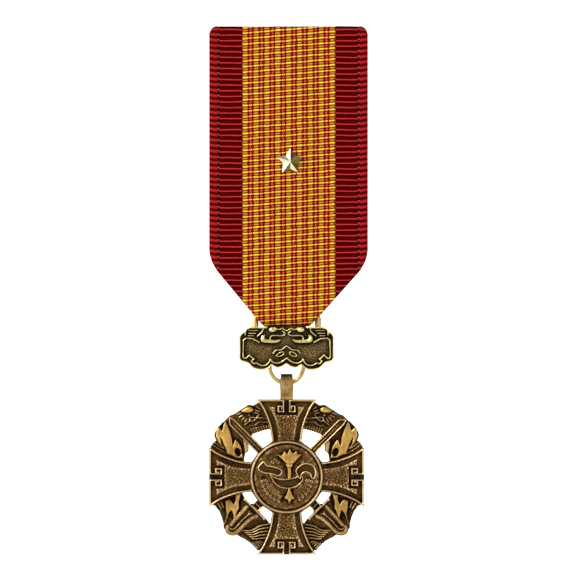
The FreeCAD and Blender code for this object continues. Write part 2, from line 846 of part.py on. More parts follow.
def sword_outline():
    """Blade up, guard, grip and round pommel below, about the middle of the medal."""
    half = size("blade_wide") / 2
    tip = size("blade_tip")
    guard = -size("guard_at")
    guard_half = size("guard_half")
    bar = size("guard_wide") / 2
    knob = size("knob_radius")
    grip = size("grip_wide") / 2
    pommel = size("pommel_radius")
    at = -size("pommel_at")
    join = at + math.sqrt(pommel ** 2 - grip ** 2)
    knob_x = guard_half + math.sqrt(knob ** 2 - bar ** 2)
    return path(
        (half, guard + bar),
        (half, tip - 0.9),
        (half * 0.35, tip),
        (-half * 0.55, tip - 0.35),
        (-half, tip - 0.9),
        (-half, guard + bar),
        (-guard_half, guard + bar),
        ((-knob_x - knob, guard), (-guard_half, guard - bar)),
        (-grip, guard - bar),
        (-grip * 1.25, (guard + join) / 2),
        (-grip, join),
        ((0, at - pommel), (grip, join)),
        (grip * 1.25, (guard + join) / 2),
        (grip, guard - bar),
        (guard_half, guard - bar),
        ((knob_x + knob, guard), (guard_half, guard + bar)),
    )


def make_sword(label, degrees, lap_in_front):
    body = new_body(label)
    blank = draw(body, "XZ_Plane", sword_outline(), "cross_back_fwd")
    pad(body, blank, "sword_thick")
    half = (size("blade_wide") + size("sword_fit")) / 2
    if lap_in_front:
        lap = draw(body, "XZ_Plane", box(-half, -half, half, half), "cross_back_fwd + sword_thick / 2")
    else:
        lap = draw(body, "XZ_Plane", box(-half, -half, half, half), "cross_back_fwd")
    pocket(body, lap, "sword_thick / 2", backward=True)
    bore = draw(body, "XZ_Plane", circle(0, 0, size("core_rivet")), "cross_back_fwd")
    pocket(body, bore, "2 * sword_thick", backward=True)
    body.Placement = Placement(Vector(0, 0, 0), Rotation(Vector(0, 1, 0), degrees))
    place_on_medal(body)


def make_wreath():
    """A scalloped openwork ring behind the arms and the swords."""
    body = new_body("openwork_wreath")
    outer = size("wreath_outer")
    under_arm = math.degrees(math.acos(size("wreath_under_arm") / outer))
    step = (QUARTER - 2 * under_arm) / WREATH_LOBES
    steps = []
    for quarter in range(ARMS):
        first = quarter * QUARTER + under_arm
        for index in range(WREATH_LOBES):
            peak = polar(size("wreath_lobe"), first + (index + 0.5) * step)
            steps.append((peak, polar(outer, first + (index + 1) * step)))
        steps.append(polar(outer, first + QUARTER))
    edges = path(polar(outer, under_arm), *steps) + circle(0, 0, size("wreath_inner"))
    blank = draw(body, "XZ_Plane", edges, "cross_back_fwd - wreath_thick")
    pad(body, blank, "wreath_thick")
    x, z = polar(size("wreath_hole_at"), 360 / WREATH_HOLES / 2)
    oval = Part.Ellipse(flat(x, z), WREATH_HOLE_LONG, WREATH_HOLE_WIDE)
    oval.AngleXU = math.radians(360 / WREATH_HOLES / 2 + QUARTER)
    sketch = draw(body, "XZ_Plane", [oval], "cross_back_fwd")
    hole = pocket(body, sketch, "wreath_thick")
    around(body, hole, sketch, WREATH_HOLES)
    place_on_medal(body)


def make_disc():
    """The centre disc with a plain raised torch shape."""
    body = new_body("centre_disc")
    blank = draw(body, "XZ_Plane", circle(0, 0, size("disc_radius")), "cross_back_fwd + cross_thick")
    pad(body, blank, "disc_thick")
    torch = path(
        (0.35, 0.2),
        ((1.3, 1.1), (0.95, 2.2)),
        ((0.45, 1.9), (0.1, 2.75)),
        ((-0.5, 2.1), (-1.05, 2.1)),
        ((-1.3, 1.1), (-0.35, 0.2)),
        (-0.22, -2.5),
        ((0, -2.75), (0.22, -2.5)),
    )
    emblem = draw(body, "XZ_Plane", torch, "cross_back_fwd + cross_thick + disc_thick")
    pad(body, emblem, "emblem_rise")
    place_on_medal(body)


def make_rim():
    body = new_body("disc_rim")
    edges = circle(0, 0, size("rim_radius")) + circle(0, 0, size("disc_radius"))
    ring = draw(body, "XZ_Plane", edges, "cross_back_fwd + cross_thick")
    pad(body, ring, "rim_thick")
    place_on_medal(body)


def make_core_rivet():
    """Holds the lapped swords and the cross together behind the disc."""
    body = new_body("core_rivet")
    head = draw(body, "XZ_Plane", circle(0, 0, size("core_head")), "cross_back_fwd - core_head_thick")
    pad(body, head, "core_head_thick")
    shank = draw(body, "XZ_Plane", circle(0, 0, size("core_rivet")), "cross_back_fwd")
    pad(body, shank, "cross_thick")
    place_on_medal(body)


make_ribbon()
make_stitches()
make_brooch_plate()
make_hinge_bracket()
make_hinge_rivet()
make_pin()
make_catch_housing()
make_catch_lock()
make_star()
make_star_prongs()
make_ribbon_loop()
make_suspension_plate()
make_ring_lug()
make_split_ring()
make_bail()
make_wreath()
make_sword("sword_left", -45, True)
make_sword("sword_right", 45, False)
make_cross()
make_disc()
make_rim()
make_core_rivet()

doc.recompute()
for obj in doc.Objects:
    assert "Invalid" not in obj.State and "Error" not in obj.State, obj.Label
for node in nodes:
    assert not node.Shape.isNull(), node.Label
    assert node.Shape.isValid(), node.Label
    assert node.Shape.Volume > 0, node.Label

os.makedirs("parts", exist_ok=True)
for node in nodes:
    node.Shape.exportStep("parts/%s.step" % node.Label)
    extent = node.Shape.BoundBox
    print("%-18s solids %d volume %8.3f mm3  x %.2f..%.2f y %.2f..%.2f z %.2f..%.2f" % (
        node.Label, len(node.Shape.Solids), node.Shape.Volume,
        extent.XMin, extent.XMax, extent.YMin, extent.YMax, extent.ZMin, extent.ZMax))
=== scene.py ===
import json
import math

import bpy
import numpy as np
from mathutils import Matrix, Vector


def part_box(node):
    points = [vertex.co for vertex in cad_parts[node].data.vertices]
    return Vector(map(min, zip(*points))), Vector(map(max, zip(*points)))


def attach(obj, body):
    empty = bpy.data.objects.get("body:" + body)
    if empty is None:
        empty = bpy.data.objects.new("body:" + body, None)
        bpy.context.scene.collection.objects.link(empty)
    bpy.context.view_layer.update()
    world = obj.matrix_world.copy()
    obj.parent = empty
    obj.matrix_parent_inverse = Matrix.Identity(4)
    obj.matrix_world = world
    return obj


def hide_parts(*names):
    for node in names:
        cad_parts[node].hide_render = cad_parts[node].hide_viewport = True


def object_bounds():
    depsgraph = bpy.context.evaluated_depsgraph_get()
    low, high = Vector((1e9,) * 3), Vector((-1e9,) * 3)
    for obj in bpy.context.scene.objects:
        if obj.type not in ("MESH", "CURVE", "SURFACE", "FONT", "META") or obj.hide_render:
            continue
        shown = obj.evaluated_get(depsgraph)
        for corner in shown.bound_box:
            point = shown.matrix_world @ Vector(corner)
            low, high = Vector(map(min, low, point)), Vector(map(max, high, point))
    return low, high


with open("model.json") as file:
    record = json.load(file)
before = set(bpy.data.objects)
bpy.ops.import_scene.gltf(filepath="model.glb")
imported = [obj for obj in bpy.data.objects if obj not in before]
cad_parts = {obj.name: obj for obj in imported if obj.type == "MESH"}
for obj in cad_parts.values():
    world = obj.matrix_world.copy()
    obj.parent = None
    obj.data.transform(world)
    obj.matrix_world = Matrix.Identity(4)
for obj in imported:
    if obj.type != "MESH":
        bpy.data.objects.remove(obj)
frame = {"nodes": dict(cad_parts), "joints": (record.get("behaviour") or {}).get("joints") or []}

# Lengths in this script are in millimetres until a mesh or a place is made, and then in metres.
MM = 0.001
TURN = 2 * math.pi
CAD_BOX = [[float(v) for v in corner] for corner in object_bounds()]


def node_box(node):
    """The low and high corners of a CAD node's box."""
    low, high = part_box(node)
    return np.array(low) / MM, np.array(high) / MM


# ---- shader helpers ----


def opaque(colour):
    """A colour with the alpha that its socket expects. A link from another node is passed through."""
    return (*colour, 1.0) if isinstance(colour, (tuple, list)) else colour


class Graph:
    """A material's node tree with short calls for the nodes used here."""

    def __init__(self, name):
        self.material = bpy.data.materials.new(name)
        self.material.use_nodes = True
        self.nodes = self.material.node_tree.nodes
        self.links = self.material.node_tree.links
        self.shader = self.nodes["Principled BSDF"]

    def put(self, socket, value):
        if isinstance(value, bpy.types.NodeSocket):
            self.links.new(value, socket)
        elif value is not None:
            socket.default_value = value

    def math(self, operation, a, b=None):
        node = self.nodes.new("ShaderNodeMath")
        node.operation = operation
        for socket, value in zip(node.inputs, (a, b)):
            self.put(socket, value)
        return node.outputs[0]

    def add(self, a, b):
        return self.math("ADD", a, b)

    def times(self, a, b):
        return self.math("MULTIPLY", a, b)

    def wave(self, value, period=1.0):
        """From 1 at a whole period to -1 half-way to the next."""
        return self.math("COSINE", self.times(value, TURN / period))

    def map_range(self, kind, value, **ends):
        node = self.nodes.new("ShaderNodeMapRange")
        node.interpolation_type = kind
        self.put(node.inputs["Value"], value)
        for name, end in ends.items():
            self.put(node.inputs[name.replace("_", " ")], end)
        return node.outputs["Result"]

    def step(self, value, low, high):
        """0 below low, 1 above high, smooth between."""
        return self.map_range("SMOOTHSTEP", value, From_Min=low, From_Max=high)

    def within(self, value, middle, inner, outer, wider=None):
        """1 closer to the middle than inner, 0 further from it than outer, smooth between."""
        gap = self.math("ABSOLUTE", self.add(value, -middle))
        if wider is not None:
            gap = self.math("SUBTRACT", gap, wider)
        return self.math("SUBTRACT", 1.0, self.step(gap, inner, outer))

    def scale(self, value, from_low, from_high, to_low, to_high):
        """Maps one range to another in proportion, and keeps within it."""
        return self.map_range(
            "LINEAR", value, From_Min=from_low, From_Max=from_high, To_Min=to_low, To_Max=to_high)

    def spread(self, noise, low, high):
        """A noise, which mostly lies between 0.3 and 0.7, spread from low to high."""
        return self.scale(noise, 0.3, 0.7, low, high)

    def mix(self, factor, a, b):
        node = self.nodes.new("ShaderNodeMix")
        node.data_type = "RGBA"
        self.put(node.inputs[0], factor)
        self.put(node.inputs[6], opaque(a))
        self.put(node.inputs[7], opaque(b))
        return node.outputs[2]

    def ramp(self, value, stops):
        node = self.nodes.new("ShaderNodeValToRGB")
        ramp = node.color_ramp
        while len(ramp.elements) < len(stops):
            ramp.elements.new(0.5)
        for element, (at, colour) in zip(ramp.elements, stops):
            element.position = at
            element.color = opaque(colour)
        self.put(node.inputs[0], value)
        return node.outputs[0]

    def attribute(self, name):
        node = self.nodes.new("ShaderNodeAttribute")
        node.attribute_name = name
        return node.outputs["Fac"]

    def place(self, stretch=None):
        """The point in the piece's own space, scaled axis by axis if stretch is given."""
        point = self.nodes.new("ShaderNodeTexCoord").outputs["Object"]
        if stretch is None:
            return point
        node = self.nodes.new("ShaderNodeMapping")
        node.inputs["Scale"].default_value = stretch
        self.put(node.inputs["Vector"], point)
        return node.outputs["Vector"]

    def axis(self, coordinate, letter):
        """One axis of a texture coordinate such as Generated or Normal."""
        node = self.nodes.new("ShaderNodeSeparateXYZ")
        self.put(node.inputs[0], self.nodes.new("ShaderNodeTexCoord").outputs[coordinate])
        return node.outputs[letter]

    def noise(self, per_mm, detail, stretch=None):
        node = self.nodes.new("ShaderNodeTexNoise")
        node.inputs["Scale"].default_value = per_mm / MM
        node.inputs["Detail"].default_value = detail
        node.inputs["Roughness"].default_value = 0.6
        self.put(node.inputs["Vector"], self.place(stretch))
        return node.outputs["Fac"]

    def bump(self, height, distance, strength=1.0):
        node = self.nodes.new("ShaderNodeBump")
        node.inputs["Strength"].default_value = strength
        node.inputs["Distance"].default_value = distance * MM
        self.put(node.inputs["Height"], height)
        return node.outputs["Normal"]

    def finish(self, **sockets):
        for name, value in sockets.items():
            self.put(self.shader.inputs[name.replace("_", " ")], value)
        return self.material


# ---- materials ----

# The ribbon's pattern: ribs across it, and in its yellow band stripes along it.
RIB_PITCH = 0.613
STRIPE_PITCH = 1.194
WARP_PITCH = 0.2
BAND_MIDDLE = 0.06
BAND_HALF = 5.1
BAND_CLIMB = 0.083
SELVAGE_IN = 7.72
SELVAGE_DROOP = 0.16

# The silk's colours in the furrows beside a rib, on the low rib between them and on the rib's crest: the
# weave's own yellow and red, with painted shade in the furrows and a painted highlight on the crest.
YELLOW_SILK = ((0.11, 0.005, 0.0), (0.72, 0.31, 0.04), (1.0, 0.8, 0.06))
RED_SILK = ((0.1, 0.0, 0.0), (0.29, 0.005, 0.003), (0.62, 0.1, 0.015))
SOILED_SILK = (0.42, 0.1, 0.01)
# The same without the low rib, for the light thread in each red stripe, the sides and their cords, again with
# painted shade in the furrows and a painted highlight on the crests. SIDE_SHADE is a painted shadow below
# each rib.
LIGHT_THREAD = ((0.68, 0.17, 0.07), (1.0, 0.6, 0.1))
SIDE_SILK = ((0.062, 0.0, 0.0), (0.6, 0.05, 0.052))
SIDE_SHADE = (0.13, 0.001, 0.002)
SELVAGE_SILK = ((0.06, 0.0, 0.001), (0.4, 0.018, 0.02))
SEAM_SILK = ((0.025, 0.0, 0.001), (0.45, 0.07, 0.07))


def ribbon_material():
    """Ribbed silk: a yellow band with red threads, dark red sides and corded edges."""
    g = Graph("ribbon_weave")
    across = g.attribute("across")
    along = g.attribute("along")
    edge = g.math("ABSOLUTE", across)
    in_band = g.within(across, BAND_MIDDLE, BAND_HALF - 0.05, BAND_HALF + 0.05)
    in_selvage = g.step(edge, SELVAGE_IN - 0.04, SELVAGE_IN + 0.04)
    fine = g.noise(4.0, 2.0)

    # rib runs from 0 on a rib's crest to 1 on the next, with a low rib half-way and furrows beside it.
    climb = g.times(g.times(in_band, across), BAND_CLIMB)
    droop = g.times(g.math("MAXIMUM", g.add(edge, -SELVAGE_IN), 0.0), SELVAGE_DROOP)
    wobble = g.scale(g.noise(0.5, 3.0), 0.0, 1.0, -0.1, 0.1)
    length = g.add(g.add(g.add(along, climb), droop), wobble)
    rib = g.math("FRACT", g.math("DIVIDE", length, RIB_PITCH))
    crest = g.scale(g.wave(rib), -1.0, 1.0, 0.0, 1.0)
    thin = g.math("POWER", crest, 6.0)
    under = g.math("POWER", g.scale(g.wave(rib, 0.5), -1.0, 1.0, 0.0, 1.0), 1.3)

    # stripe runs from 0 to 1 over a yellow and a red stripe.
    sway = g.spread(g.noise(1.7, 2.0), -0.055, 0.055)
    from_side = g.add(g.add(across, sway), BAND_HALF - BAND_MIDDLE)
    stripe = g.math("FRACT", g.math("DIVIDE", from_side, STRIPE_PITCH))
    in_yellow = g.within(stripe, 0.235, 0.15, 0.25, wider=g.times(thin, 0.07))
    in_thread = g.within(stripe, 0.735, 0.03, 0.1, wider=g.times(thin, 0.085))

    # Painted shade in the furrows and a painted highlight on each crest, over the silk's own yellow and red.
    yellow = g.mix(thin, g.mix(under, *YELLOW_SILK[:2]), YELLOW_SILK[2])
    soiled = g.times(g.step(g.noise(1.3, 2.0), 0.35, 0.7), 0.35)
    yellow = g.mix(soiled, yellow, SOILED_SILK)
    red = g.mix(g.times(thin, 0.5), g.mix(under, *RED_SILK[:2]), RED_SILK[2])
    shown = g.math("MAXIMUM", g.scale(under, 0.0, 1.0, 0.15, 0.85), thin)
    red = g.mix(g.times(in_thread, shown), red, g.mix(thin, *LIGHT_THREAD))
    band = g.mix(in_yellow, red, yellow)

    # The sides: painted highlight on the crests, painted shade between them, and a painted shadow just below
    # each crest.
    side = g.mix(g.math("POWER", crest, 12.0), *SIDE_SILK)
    side = g.mix(g.times(g.step(rib, 0.1, 0.5), 0.3), side, SIDE_SHADE)
    selvage = g.mix(g.math("POWER", crest, 1.3), *SELVAGE_SILK)
    outer = g.mix(in_selvage, side, selvage)
    in_seam = g.within(edge, SELVAGE_IN, 0.05, 0.13)
    seam = g.mix(g.step(g.wave(g.add(rib, 0.22)), 0.55, 0.95), *SEAM_SILK)
    outer = g.mix(g.times(in_seam, 0.85), outer, seam)

    tint = g.nodes.new("ShaderNodeHueSaturation")
    g.put(tint.inputs["Color"], g.mix(in_band, outer, band))
    g.put(tint.inputs["Value"], g.spread(fine, 0.86, 1.1))
    threads = g.add(g.times(g.wave(across, WARP_PITCH), 0.5), g.times(fine, 0.8))
    return g.finish(
        Base_Color=tint.outputs["Color"], Roughness=g.spread(fine, 0.55, 0.75),
        Normal=g.bump(threads, 0.03, 0.5), Specular_IOR_Level=0.0)


def thread_material():
    """Twisted red sewing thread."""
    g = Graph("sewing_thread")
    twist = g.nodes.new("ShaderNodeTexWave")
    twist.inputs["Scale"].default_value = 0.9 / MM
    twist.inputs["Distortion"].default_value = 1.0
    g.put(twist.inputs["Vector"], g.place())
    ply = twist.outputs["Fac"]
    colour = g.mix(ply, (0.12, 0.004, 0.006), (0.34, 0.02, 0.02))
    return g.finish(Base_Color=colour, Roughness=0.8, Normal=g.bump(ply, 0.02))


def antique_material(name, dark, middle, bright, polished):
    """Cast bronze blackened in its recesses, with its raised lines rubbed bright.

    A relief's wear leads from dark over middle to bright, and its polish lays polished over that.
    """
    g = Graph(name)
    polish = g.attribute("polish")
    cloud = g.noise(0.55, 3.0)
    grain = g.noise(7.0, 2.0)
    rubbed = g.add(g.attribute("wear"), g.scale(cloud, 0.35, 0.65, -0.07, 0.07))
    rubbed = g.add(rubbed, g.spread(grain, -0.045, 0.045))
    dusky = [0.45 * d + 0.55 * m for d, m in zip(dark, middle)]
    colour = g.ramp(rubbed, [(0.0, dark), (0.34, dusky), (0.55, middle), (0.95, bright)])
    brush = g.add(g.times(cloud, 0.6), g.times(g.noise(4.0, 2.0, (1.0, 1.0, 0.25)), 0.4))
    deeper = [0.62 * v for v in polished]
    lighter = [min(1.12 * v, 1.0) for v in polished]
    warm = g.mix(g.scale(brush, 0.38, 0.62, 0.0, 1.0), deeper, lighter)
    colour = g.mix(polish, colour, warm)
    high = g.math("MAXIMUM", g.step(rubbed, 0.3, 0.85), polish)
    roughness = g.add(g.scale(high, 0.0, 1.0, 0.6, 0.34), g.spread(grain, -0.05, 0.08))
    return g.finish(
        Base_Color=colour, Roughness=roughness, Metallic=g.scale(high, 0.0, 1.0, 0.8, 1.0),
        Normal=g.bump(g.add(grain, g.times(cloud, 2.0)), 0.012, 0.6), Specular_IOR_Level=0.15)


def wire_material(name, bright, dull, roughness, stretch=None, painted_shade_side=None, top=None):
    """Drawn or brushed metal with handling marks, which stretch draws out into streaks.

    The side facing +X may be darkened with painted shade, as though light fell only from -X, and the top of
    the piece may be darker.
    """
    g = Graph(name)
    streak = g.noise(6.0, 3.0, stretch)
    cloud = g.noise(0.9, 3.0)
    marks = g.add(g.times(cloud, 0.7), g.times(streak, 0.3))
    colour = g.mix(g.step(marks, 0.38, 0.62), dull, bright)
    rough = g.add(g.spread(cloud, roughness - 0.06, roughness + 0.1), g.spread(streak, -0.04, 0.06))
    if top is not None:
        height = g.add(g.axis("Generated", "Z"), g.spread(streak, -0.12, 0.12))
        colour = g.mix(g.step(height, 0.62, 0.98), colour, top)
    if painted_shade_side is not None:
        # Painted shade: faces turned towards +X, away from the key light, are coloured darker.
        colour = g.mix(g.step(g.axis("Normal", "X"), -0.05, 0.25), colour, painted_shade_side)
    return g.finish(Base_Color=colour, Metallic=1.0, Roughness=rough, Normal=g.bump(streak, 0.012, 0.5))


RIBBON = ribbon_material()
THREAD = thread_material()
PLATE = antique_material(
    "plate_bronze", dark=(0.01, 0.006, 0.002), middle=(0.19, 0.125, 0.042), bright=(1.0, 0.85, 0.38),
    polished=(1.0, 0.8, 0.31))
BRONZE = antique_material(
    "antique_bronze", dark=(0.01, 0.003, 0.001), middle=(0.185, 0.092, 0.024), bright=(0.93, 0.68, 0.33),
    polished=(0.76, 0.46, 0.12))
BAIL_BRONZE = wire_material(
    "bail_bronze", bright=(0.56, 0.36, 0.13), dull=(0.27, 0.16, 0.05), roughness=0.42,
    stretch=(1.0, 1.0, 0.12), top=(0.09, 0.05, 0.016))
RIVET_BRONZE = wire_material(
    "rivet_bronze", bright=(0.5, 0.32, 0.11), dull=(0.27, 0.165, 0.055), roughness=0.42)
PALE_WIRE = wire_material(
    "pale_gold_wire", bright=(0.8, 0.6, 0.26), dull=(0.56, 0.4, 0.15), roughness=0.36)
NICKEL = wire_material(
    "nickel", bright=(0.6, 0.58, 0.55), dull=(0.42, 0.41, 0.38), roughness=0.32, stretch=(0.15, 1.0, 1.0))
# The star's faces towards +X carry painted shade.
STAR_GOLD = wire_material(
    "star_gold", bright=(1.0, 0.91, 0.62), dull=(0.95, 0.82, 0.5), roughness=0.16, painted_shade_side=(0.2, 0.14, 0.04))


# ---- relief ----


def smooth(value):
    value = np.clip(value, 0.0, 1.0)
    return value * value * (3.0 - 2.0 * value)


def curve(points, closed=False, parts=6):
    """A smooth line through the points (Catmull-Rom)."""
    points = [np.array(p, float) for p in points]
    count = len(points)
    out = []
    spans = count if closed else count - 1
    for i in range(spans):
        if closed:
            a, b, c, d = (points[(i + k) % count] for k in (-1, 0, 1, 2))
        else:
            b, c = points[i], points[i + 1]
            a = points[i - 1] if i > 0 else 2 * b - c
            d = points[i + 2] if i + 2 < count else 2 * c - b
        for k in range(parts):
            t = k / parts
            out.append(0.5 * (2 * b + (c - a) * t + (2 * a - 5 * b + 4 * c - d) * t * t
                              + (3 * b - a - 3 * c + d) * t ** 3))
    if not closed:
        out.append(points[-1])
    return [tuple(p) for p in out]


def mirror(points):
    return [(-x, z) for x, z in points]


def whole(half):
    """A closed outline from the half of it that lies on one side of the middle line."""
    return half + mirror(half)[::-1]


# What is drawn on the left is drawn as it is, and mirrored on the right.
BOTH_SIDES = (list, mirror)


def ring_points(radius, count, x=0.0, z=0.0, squash=1.0, turn=0.0):
    """An oval about a point, with its height squashed and then turned."""
    out = []
    for i in range(count):
        angle = TURN * i / count
        u, v = radius * math.cos(angle), radius * squash * math.sin(angle)
        out.append((x + u * math.cos(turn) - v * math.sin(turn), z + u * math.sin(turn) + v * math.cos(turn)))
    return out


def path_distance(x, z, points, closed=False):
    """The distance from each place to the line through the points."""
    best = np.full(x.shape, 1e9)
    ends = points[1:] + points[:1] if closed else points[1:]
    for (ax, az), (bx, bz) in zip(points, ends):
        dx, dz = bx - ax, bz - az
        t = np.clip(((x - ax) * dx + (z - az) * dz) / max(dx * dx + dz * dz, 1e-12), 0.0, 1.0)
        best = np.minimum(best, (x - ax - t * dx) ** 2 + (z - az - t * dz) ** 2)
    return np.sqrt(best)


def signed_distance(x, z, points):
    """Negative inside the closed outline."""
    inside = np.zeros(x.shape, bool)
    for (ax, az), (bx, bz) in zip(points, points[1:] + points[:1]):
        if az == bz:
            continue
        crosses = (az > z) != (bz > z)
        inside ^= crosses & (x < (bx - ax) * (z - az) / (bz - az) + ax)
    distance = path_distance(x, z, points, True)
    return np.where(inside, -distance, distance)


def blurred(values, cells, passes=3):
    """A smooth blur made of box blurs along each axis."""
    cells = max(int(cells), 1)
    wide = 2 * cells + 1
    for _ in range(passes):
        for axis in (0, 1):
            pad = [(0, 0), (0, 0)]
            pad[axis] = (cells + 1, cells)
            total = np.cumsum(np.pad(values, pad, mode="edge"), axis=axis)
            if axis == 0:
                values = (total[wide:] - total[:-wide]) / wide
            else:
                values = (total[:, wide:] - total[:, :-wide]) / wide
    return values


def ridge_profile(distance, width):
    """A ridge's cross-section: 1 along its middle, 0 beyond its width."""
    return smooth(1.25 * (1.0 - distance / (0.5 * width + 0.03)))


class Relief:
    """Heights over a rectangle, drawn with ridges, grooves and plateaus.

    polish is where a shape is bright all over, and rubbed the least wear that a place shows.
    """

    def __init__(self, low, high, step, seed):
        self.step = step
        self.low = np.array(low, float)
        xs = np.arange(low[0], high[0] + step, step)
        zs = np.arange(low[1], high[1] + step, step)
        self.x, self.z = np.meshgrid(xs, zs, indexing="ij")
        self.h = np.zeros(self.x.shape)
        self.polish = np.zeros(self.x.shape)
        self.rubbed = np.zeros(self.x.shape)
        self.random = np.random.default_rng(seed)

    def window(self, points, margin):
        """The part of the grid that the points and a margin about them lie in."""
        p = np.array(points)
        first = np.floor((p.min(0) - margin - self.low) / self.step).astype(int)
        last = np.ceil((p.max(0) + margin - self.low) / self.step).astype(int) + 1
        first = np.maximum(first, 0)
        last = np.maximum(last, first)
        return (slice(first[0], last[0]), slice(first[1], last[1]))

    def ridge(self, points, width, height, closed=False, polish=0.0):
        part = self.window(points, width)
        profile = ridge_profile(path_distance(self.x[part], self.z[part], points, closed), width)
        self.h[part] = np.where(profile > 0, np.maximum(self.h[part], height * profile), self.h[part])
        self.polish[part] = np.maximum(self.polish[part], polish * profile)

    def groove(self, points, width, depth, closed=False):
        part = self.window(points, width)
        d = path_distance(self.x[part], self.z[part], points, closed)
        profile = smooth(1.2 * (1.0 - d / (0.5 * width + 0.02)))
        self.h[part] -= depth * profile
        self.polish[part] *= 1.0 - profile

    def plateau(self, points, height, slope, polish=0.0, crown=0.0):
        part = self.window(points, 0.2)
        d = -signed_distance(self.x[part], self.z[part], points)
        profile = smooth((d + 0.02) / slope)
        rise = height * profile + crown * smooth(d / (4 * slope))
        self.h[part] = np.where(profile > 0, np.maximum(self.h[part], rise), self.h[part])
        self.polish[part] = np.maximum(self.polish[part], polish * smooth((d - 0.01) / 0.06))

    def sink(self, points, depth, slope):
        part = self.window(points, 0.2)
        d = -signed_distance(self.x[part], self.z[part], points)
        profile = smooth((d + 0.02) / slope)
        self.h[part] -= depth * profile
        self.polish[part] *= 1.0 - profile

    def pebbles(self, mask, height, fine, coarse):
        """Worm-like stippling, as a chasing punch leaves it."""
        white = self.random.standard_normal(self.h.shape)
        cells = max(int(fine / self.step), 1)
        noise = blurred(white, cells, 1) - blurred(white, max(int(coarse / self.step), cells), 3)
        noise /= noise.std()
        self.h += mask * height * np.clip(noise, -1.6, 1.6)

    def wear(self, reach=0.26, gain=10.0, level=0.37):
        """How far each point stands above its surroundings: 0 in a recess, 1 on a ridge."""
        local = self.h - blurred(self.h, reach / self.step)
        return np.maximum(np.clip(level + gain * local, 0.0, 1.0), self.rubbed)


def new_piece(name, verts, faces, material, attributes=None, sharp=40.0):
    """A mesh object from points in millimetres, with smooth shading and sharp edges."""
    mesh = bpy.data.meshes.new(name)
    mesh.from_pydata((np.asarray(verts, float) * MM).tolist(), [], [list(map(int, f)) for f in faces])
    for key, values in (attributes or {}).items():
        layer = mesh.attributes.new(key, "FLOAT", "POINT")
        layer.data.foreach_set("value", np.asarray(values, np.float32))
    mesh.update()
    mesh.polygons.foreach_set("use_smooth", np.ones(len(mesh.polygons), bool))
    mesh.set_sharp_from_angle(angle=math.radians(sharp))
    piece = bpy.data.objects.new(name, mesh)
    bpy.context.scene.collection.objects.link(piece)
    mesh.materials.append(material)
    return piece


def spun(verts, degrees):
    """Turned about the Y axis, towards +X from +Z."""
    angle = math.radians(degrees)
    out = verts.copy()
    out[:, 0] = verts[:, 0] * math.cos(angle) + verts[:, 2] * math.sin(angle)
    out[:, 2] = -verts[:, 0] * math.sin(angle) + verts[:, 2] * math.cos(angle)
    return out


def relief_piece(name, relief, edge, front, back, place, material, bevel=0.1, turn=0.0):
    """Cuts a relief to its outline and closes it with sides and a back.

    edge is the signed distance to the outline. front and back are forward distances (-Y) of the relief's
    zero height and of the back, which is left a little rough, as cast.
    """
    step = relief.step
    gx, gz = np.gradient(edge, step)
    size = np.sqrt(gx * gx + gz * gz) + 1e-9
    keep = edge < 0.5 * step
    quads = keep[:-1, :-1] & keep[1:, :-1] & keep[1:, 1:] & keep[:-1, 1:]
    index = np.arange(edge.size).reshape(edge.shape)
    corners = [index[:-1, :-1], index[1:, :-1], index[1:, 1:], index[:-1, 1:]]
    faces = np.stack([corner[quads] for corner in corners], axis=1)
    used, flat = np.unique(faces, return_inverse=True)
    faces = flat.reshape(faces.shape)
    count = len(used)

    # The grid's outermost points are pulled onto the outline.
    near = edge > -0.5 * step
    x = (relief.x - np.where(near, edge * gx / size, 0.0)).ravel()[used]
    z = (relief.z - np.where(near, edge * gz / size, 0.0)).ravel()[used]
    height = relief.h - 0.5 * bevel * smooth(1.0 + edge / bevel) ** 2
    top = -(front + height.ravel()[used])
    rough = blurred(relief.random.standard_normal(edge.shape), 0.16 / step)
    rough = (rough / rough.std() * 0.008).ravel()[used]
    low = np.full(count, -back) - np.minimum(rough, 0.0)
    verts = np.concatenate([np.stack([x, top, z], 1), np.stack([x, low, z], 1)])
    verts = spun(verts, turn) + np.array(place, float)

    # The sides stand on the edges that only one face of the relief has.
    edges = np.concatenate([faces[:, [i, (i + 1) % 4]] for i in range(4)])
    key = np.minimum(edges[:, 0], edges[:, 1]) * np.int64(count) + np.maximum(edges[:, 0], edges[:, 1])
    _, where, times = np.unique(key, return_index=True, return_counts=True)
    rim = edges[where[times == 1]]
    sides = np.stack([rim[:, 1], rim[:, 0], rim[:, 0] + count, rim[:, 1] + count], 1)
    behind = faces[:, ::-1] + count

    back_wear = np.clip(0.42 + 7 * rough, 0, 1)
    attributes = {
        "wear": np.concatenate([relief.wear().ravel()[used], back_wear]),
        "polish": np.concatenate([relief.polish.ravel()[used], np.zeros(count)]),
    }
    return new_piece(name, verts, np.concatenate([faces, sides, behind]), material, attributes, 50.0)


def finish_piece(piece, body, slot, *nodes):
    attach(piece, body)
    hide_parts(*nodes)


# ---- where things are ----

RIBBON_LOW, RIBBON_HIGH = node_box("ribbon")
CROSS_LOW, CROSS_HIGH = node_box("cross")
HANGER_LOW, HANGER_HIGH = node_box("suspension_plate")
RIM_LOW, RIM_HIGH = node_box("disc_rim")
WREATH_LOW, WREATH_HIGH = node_box("openwork_wreath")
SWORD_LOW, SWORD_HIGH = node_box("sword_left")
DISC_LOW, DISC_HIGH = node_box("centre_disc")
LOOP_LOW, LOOP_HIGH = node_box("ribbon_loop")
JOINTS = {joint["name"]: joint for joint in frame["joints"]}

MEDAL = np.array([(CROSS_LOW[0] + CROSS_HIGH[0]) / 2, 0.0, (CROSS_LOW[2] + CROSS_HIGH[2]) / 2])
